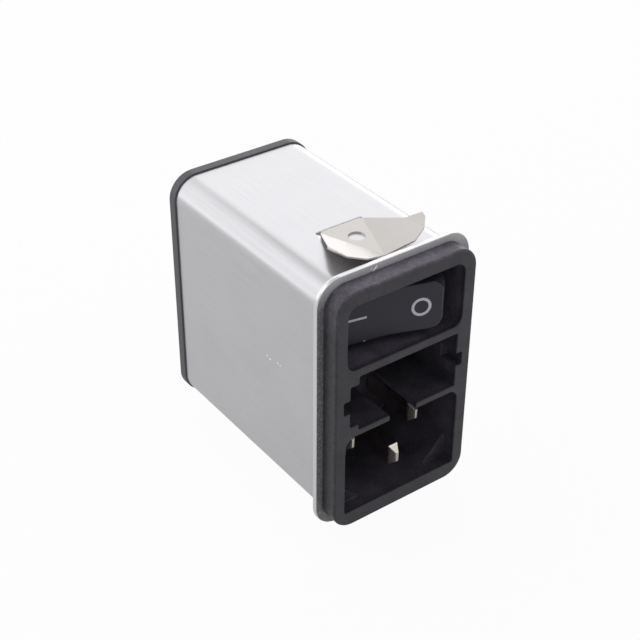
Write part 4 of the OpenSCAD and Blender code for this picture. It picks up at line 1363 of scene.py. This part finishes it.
@dataclass
class LineFilter(SubAssembly):
    """Filter board with its choke, capacitors, resistor, leads and solder joints.

    Attributes:
        turns: Turns of each winding.
        span: Angle around the core that a winding takes, in degrees.
        wire: Radius of the winding wire in metres.
        wire_gap: Gap between wire and core in metres.
        steps: Points along one turn.
        fillet: Radius of a solder fillet on the board in metres.
        fillet_height: Height of a solder fillet in metres.
        stub: Radius of a cut leg in metres.
        stub_height: Height of a cut leg in metres.
        fillet_top: Width of a fillet's top against the leg.
        stub_top: Width of a leg's cut end against the leg.
        fillet_sides: Facets around a fillet.
        stub_sides: Facets around a cut leg.
        solder_fold: Smallest angle of a crisp edge of the solder, in degrees.
    """

    turns: int = 8
    span: float = 150.0
    wire: float = 0.45 * MM
    wire_gap: float = 0.15 * MM
    steps: int = 32
    fillet: float = 0.95 * MM
    fillet_height: float = 0.55 * MM
    stub: float = 0.3 * MM
    stub_height: float = 1.0 * MM
    fillet_top: float = 1.3
    stub_top: float = 0.8
    fillet_sides: int = 20
    stub_sides: int = 12
    solder_fold: float = 40.0

    def build(self) -> None:
        """Builds the windings and solder joints, and dresses the rest."""
        self.dress("filter_board", "choke_core", "mains_capacitor", "line_capacitor", "neutral_capacitor",
                   "bleed_resistor", "line_lead", "neutral_lead")
        self.winding("line_winding", "line_coil_wire", 0.0)
        self.winding("neutral_winding", "neutral_coil_wire", 180.0)
        self.solder_joints()

    def winding(self, node: str, name: str, middle: float) -> None:
        """Winds one half of the choke.

        Args:
            node: CAD node to stand for.
            name: Name of the new piece.
            middle: Angle of the winding's middle around the core, in degrees.
        """
        centre, size = middle_and_size("choke_core")
        points = frame["nodes"]["choke_core"].data.vertices
        hole = min((point.co.xz - centre.xz).length for point in points)
        outer = size.x / 2
        spare = self.wire_gap + self.wire
        # The half turn takes the wire's second end to the inside of the core
        turns = self.turns + 0.5
        tree = ShapeTree(name, {
            "Middle": (outer + hole) / 2, "Half Width": (outer - hole) / 2 + spare,
            "Half Height": size.y / 2 + spare, "Wire": self.wire,
            "Start": math.radians(middle - self.span / 2), "Span": math.radians(self.span),
            "Turns": turns, "Steps": turns * self.steps, "Board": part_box("filter_board")[0].y - centre.y,
        })
        # The first and the last point stand on the board, and the points between them make the turns
        index = tree.node("GeometryNodeInputIndex").outputs["Index"]
        before = tree.math("MAXIMUM", tree.math("SUBTRACT", index, 1.0), 0.0)
        share = tree.math("DIVIDE", tree.math("MINIMUM", before, tree.size("Steps")), tree.size("Steps"))
        angle = tree.math("MULTIPLY", tree.math("MULTIPLY", share, tree.size("Turns")), math.tau)
        around = tree.math("ADD", tree.size("Start"), tree.math("MULTIPLY", share, tree.size("Span")))
        reach = tree.math("ADD", tree.size("Middle"), tree.math(
            "MULTIPLY", tree.size("Half Width"), self.squared(tree, tree.math("COSINE", angle))))
        height = tree.math("MULTIPLY", tree.size("Half Height"), self.squared(tree, tree.math("SINE", angle)))
        half = tree.math("DIVIDE", tree.math("ADD", tree.size("Steps"), 2.0), 2.0)
        off_middle = tree.math("ABSOLUTE", tree.math("SUBTRACT", index, half))
        at_end = tree.math("GREATER_THAN", off_middle, tree.math("SUBTRACT", half, 0.5))
        coil_y = tree.math("MULTIPLY", height, tree.math("SUBTRACT", at_end, 1.0))
        place = tree.node("ShaderNodeCombineXYZ", {
            "X": tree.math("MULTIPLY", reach, tree.math("COSINE", around)),
            "Y": tree.math("ADD", coil_y, tree.math("MULTIPLY", at_end, tree.size("Board"))),
            "Z": tree.math("MULTIPLY", reach, tree.math("SINE", around)),
        })
        row = tree.node("GeometryNodeMeshLine", {"Count": tree.math("ADD", tree.size("Steps"), 3.0)})
        bent = tree.node("GeometryNodeSetPosition", {
            "Geometry": row.outputs["Mesh"], "Position": place.outputs["Vector"],
        })
        path = tree.node("GeometryNodeMeshToCurve", {"Mesh": bent.outputs["Geometry"]})
        self.wind(node, name, tree, path.outputs["Curve"], Matrix.Translation(centre))

    @staticmethod
    def squared(tree: ShapeTree, wave: Socket) -> Socket:
        """Gives a wave with squarer shoulders, so that the wire hugs the core's section."""
        return tree.math("MULTIPLY", tree.math("SIGN", wave), tree.math("SQRT", tree.math("ABSOLUTE", wave)))

    def leg_points(self) -> list[Vector]:
        """Finds where legs and leads come through the board.

        A pair of legs stands by shares of its solid's width and height from the middle, less an inset.

        Returns:
            Places on the board's rear face.
        """
        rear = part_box("filter_board")[1].y
        spots = []
        for node, across, up, inset in (
            ("line_capacitor", 0.0, 0.25, 0.0), ("neutral_capacitor", 0.0, 0.25, 0.0),
            ("bleed_resistor", 0.5, 0.0, self.stub), ("mains_capacitor", 0.4, 0.0, 0.0),
        ):
            middle, size = middle_and_size(node)
            reach = Vector((across * size.x - inset, 0.0, up * size.z))
            spots += [middle - reach, middle + reach]
        spots += [middle_and_size(node)[0] for node in ("line_lead", "neutral_lead")]
        return [Vector((spot.x, rear, spot.z)) for spot in spots]

    def solder_joints(self) -> None:
        """Sets a solder fillet with a cut leg on every place where a leg comes through the board."""
        tree = ShapeTree("solder_joints", {
            "Fillet": self.fillet, "Fillet Height": self.fillet_height, "Stub": self.stub,
            "Stub Height": self.stub_height,
        })
        fillet = tree.node("GeometryNodeMeshCone", {
            "Vertices": self.fillet_sides, "Side Segments": 3, "Depth": tree.size("Fillet Height"),
            "Radius Top": tree.math("MULTIPLY", tree.size("Stub"), self.fillet_top),
            "Radius Bottom": tree.size("Fillet"),
        })
        stub = tree.node("GeometryNodeMeshCone", {
            "Vertices": self.stub_sides, "Side Segments": 2, "Depth": tree.size("Stub Height"),
            "Radius Top": tree.math("MULTIPLY", tree.size("Stub"), self.stub_top),
            "Radius Bottom": tree.size("Stub"),
        })
        joint = tree.join(fillet.outputs["Mesh"], stub.outputs["Mesh"])
        spots = tree.node("GeometryNodeMeshToPoints", {"Mesh": tree.size("Geometry")})
        set_out = tree.node("GeometryNodeInstanceOnPoints", {
            "Points": spots.outputs["Points"], "Instance": joint,
            "Rotation": (-math.pi / 2, 0.0, 0.0),
        })
        mesh = tree.mesh(set_out.outputs["Instances"], SOLDER, self.leg_points())
        piece = add_piece("board_solder", mesh, SOLDER)
        mesh.set_sharp_from_angle(angle=math.radians(self.solder_fold))
        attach(piece, BODY_OF["filter_board"])
        self.pieces.append(piece)


@dataclass
class RearTabs(SubAssembly):
    """Quick-connect blades at the back.

    Attributes:
        edge: Rounding of the blades' edges in metres.
    """

    edge: float = 0.1 * MM

    def build(self) -> None:
        """Builds the three blades."""
        for pole in ("line", "neutral", "earth"):
            self.softened(f"{pole}_tab", f"{pole}_quick_tab", self.edge)


# Studio

@dataclass(frozen=True)
class SoftBox:
    """Large soft lamp.

    Attributes:
        name: Name of the lamp.
        place: Middle of the lamp in metres.
        size: Width and height of the lamp in metres.
        glow: Brightness of the lamp's face, 1 for white.
    """

    name: str
    place: Triple
    size: Pair
    glow: float

    def light(self) -> None:
        """Adds the lamp, turned to the object and unseen by the camera."""
        data = bpy.data.lights.new(self.name, "AREA")
        data.shape = "RECTANGLE"
        data.size, data.size_y = self.size
        data.energy = math.pi * self.size[0] * self.size[1] * self.glow
        lamp = bpy.data.objects.new(self.name, data)
        lamp.location = self.place
        lamp.rotation_euler = (-Vector(self.place)).to_track_quat("-Z", "Y").to_euler()
        lamp.visible_camera = False
        bpy.context.scene.collection.objects.link(lamp)


@dataclass
class Studio:
    """Pale floor, soft lamps and the camera at the photograph's angle.

    Attributes:
        floor_radius: Radius of the floor in metres.
        floor_sides: Facets around the floor.
        floor_colour: Colour of the floor where it is only lit.
        floor_white: Share of the floor that shows as plain white to the camera.
        floor_glow: Brightness of that white.
        sky: Brightness of the surroundings as light.
        shine: Share of the floor's and the surroundings' white that shows in reflections.
        eye: Place of the camera in metres.
        aim: Point in the middle of the picture, in metres.
        roll: Turn of the camera about its view, in degrees.
        lens: Focal length in millimetres.
        sensor: Width of the camera's sensor in millimetres.
        nearest: Distance in metres from which the camera sees.
        lamps: The soft lamps.
    """

    floor_radius: float = 3.0
    floor_sides: int = 96
    floor_colour: Colour = (0.82, 0.82, 0.82)
    floor_white: float = 0.92
    floor_glow: float = 1.03
    sky: float = 0.33
    shine: float = 0.28
    eye: Triple = (-0.119807, -0.143685, 0.139949)
    aim: Triple = (0.000375, 0.02, 0.000986)
    roll: float = 0.301
    lens: float = 77.2007
    sensor: float = 36.0
    nearest: float = 0.01
    lamps: tuple[SoftBox, ...] = (
        SoftBox("back_left_panel", (-0.295, 0.567, 0.285), (0.95, 0.66), 0.57),
        SoftBox("back_right_panel", (0.404, 0.495, 0.285), (0.53, 0.66), 0.74),
        SoftBox("low_back_strip", (0.05, 0.6, 0.05), (2.2, 0.14), 0.42),
        SoftBox("right_wing_light", (0.5, 0.47, 0.07), (0.3, 0.16), 0.8),
        SoftBox("left_fill", (-0.47, 0.21, 0.61), (0.5, 0.5), 0.7),
        SoftBox("overhead_softbox", (0.15, -0.1, 0.8), (1.0, 1.0), 0.1),
        SoftBox("blade_light", (0.39, -0.31, 0.62), (0.25, 0.25), 1.0),
    )

    def build(self) -> None:
        """Sets the floor, the surroundings, the lamps and the camera."""
        self.lay_floor()
        self.surround()
        for lamp in self.lamps:
            lamp.light()
        self.set_camera()
        bpy.context.scene.view_settings.view_transform = "Standard"

    @staticmethod
    def seen_share(nodes: NodeTree, seen: float, mirrored: float) -> Socket:
        """Gives a share on rays that show a surface, and 0 on rays that only light others.

        Args:
            nodes: Node tree to add to.
            seen: The share where the camera sees the surface.
            mirrored: The share where it is seen in or through something else.

        Returns:
            The share by kind of ray.
        """
        path = nodes.node("ShaderNodeLightPath").outputs
        share = nodes.math("MULTIPLY", path["Is Camera Ray"], seen)
        for kind in ("Is Glossy Ray", "Is Transmission Ray"):
            share = nodes.math("MAXIMUM", share, nodes.math("MULTIPLY", path[kind], mirrored))
        return share

    def lay_floor(self) -> None:
        """Lays a round pale floor under the object's lowest point."""
        work = bmesh.new()
        bmesh.ops.create_circle(work, cap_ends=True, segments=self.floor_sides, radius=self.floor_radius)
        bmesh.ops.translate(work, verts=work.verts, vec=(0.0, 0.0, CAD_BOX[0].z))
        mesh = bpy.data.meshes.new("studio_floor")
        work.to_mesh(mesh)
        work.free()
        paper = bpy.data.materials.new("floor_paper")
        paper.use_nodes = True
        nodes = NodeTree(paper.node_tree)
        nodes.tree.nodes.clear()
        lit = nodes.node("ShaderNodeBsdfDiffuse", {"Color": (*self.floor_colour, 1.0)})
        white = nodes.node("ShaderNodeEmission", {"Strength": self.floor_glow})
        share = self.seen_share(nodes, self.floor_white, self.shine)
        mixed = nodes.node("ShaderNodeMixShader", {
            "Fac": share, 1: lit.outputs["BSDF"], 2: white.outputs["Emission"],
        })
        nodes.node("ShaderNodeOutputMaterial", {"Surface": mixed.outputs["Shader"]})
        mesh.materials.append(paper)
        floor = bpy.data.objects.new("studio_floor", mesh)
        bpy.context.scene.collection.objects.link(floor)

    def surround(self) -> None:
        """Makes the surroundings white where they are seen, and a soft light elsewhere."""
        world = bpy.data.worlds.new("studio_surroundings")
        world.use_nodes = True
        nodes = NodeTree(world.node_tree)
        back = nodes.tree.nodes["Background"].inputs
        rest = 1.0 - self.sky
        share = self.seen_share(nodes, rest, rest * self.shine)
        nodes.feed(back["Color"], (1.0, 1.0, 1.0, 1.0))
        nodes.feed(back["Strength"], nodes.math("ADD", share, self.sky))
        bpy.context.scene.world = world

    def set_camera(self) -> None:
        """Sets the camera."""
        data = bpy.data.cameras.new("camera")
        data.lens = self.lens
        data.sensor_width = self.sensor
        data.clip_start = self.nearest
        camera = bpy.data.objects.new("camera", data)
        view = Vector(self.aim) - Vector(self.eye)
        turn = view.to_track_quat("-Z", "Y").to_matrix() @ Matrix.Rotation(math.radians(self.roll), 3, "Z")
        camera.matrix_world = Matrix.Translation(self.eye) @ turn.to_4x4()
        bpy.context.scene.collection.objects.link(camera)
        bpy.context.scene.camera = camera


def main() -> None:
    """Builds the sub-assemblies and the studio in order."""
    logging.basicConfig(level=logging.INFO, format="%(name)s: %(message)s")
    for group in (Casing(), FrontMoulding(), SnapClips(), MainsInlet(), FuseHolder(), RockerSwitch(),
                  LineFilter(), RearTabs()):
        group.build()
        for piece in group.pieces:
            log.info("%s: %s, %d faces", type(group).__name__, piece.name, len(piece.data.polygons))
    Studio().build()


if __name__ == "__main__":
    main()
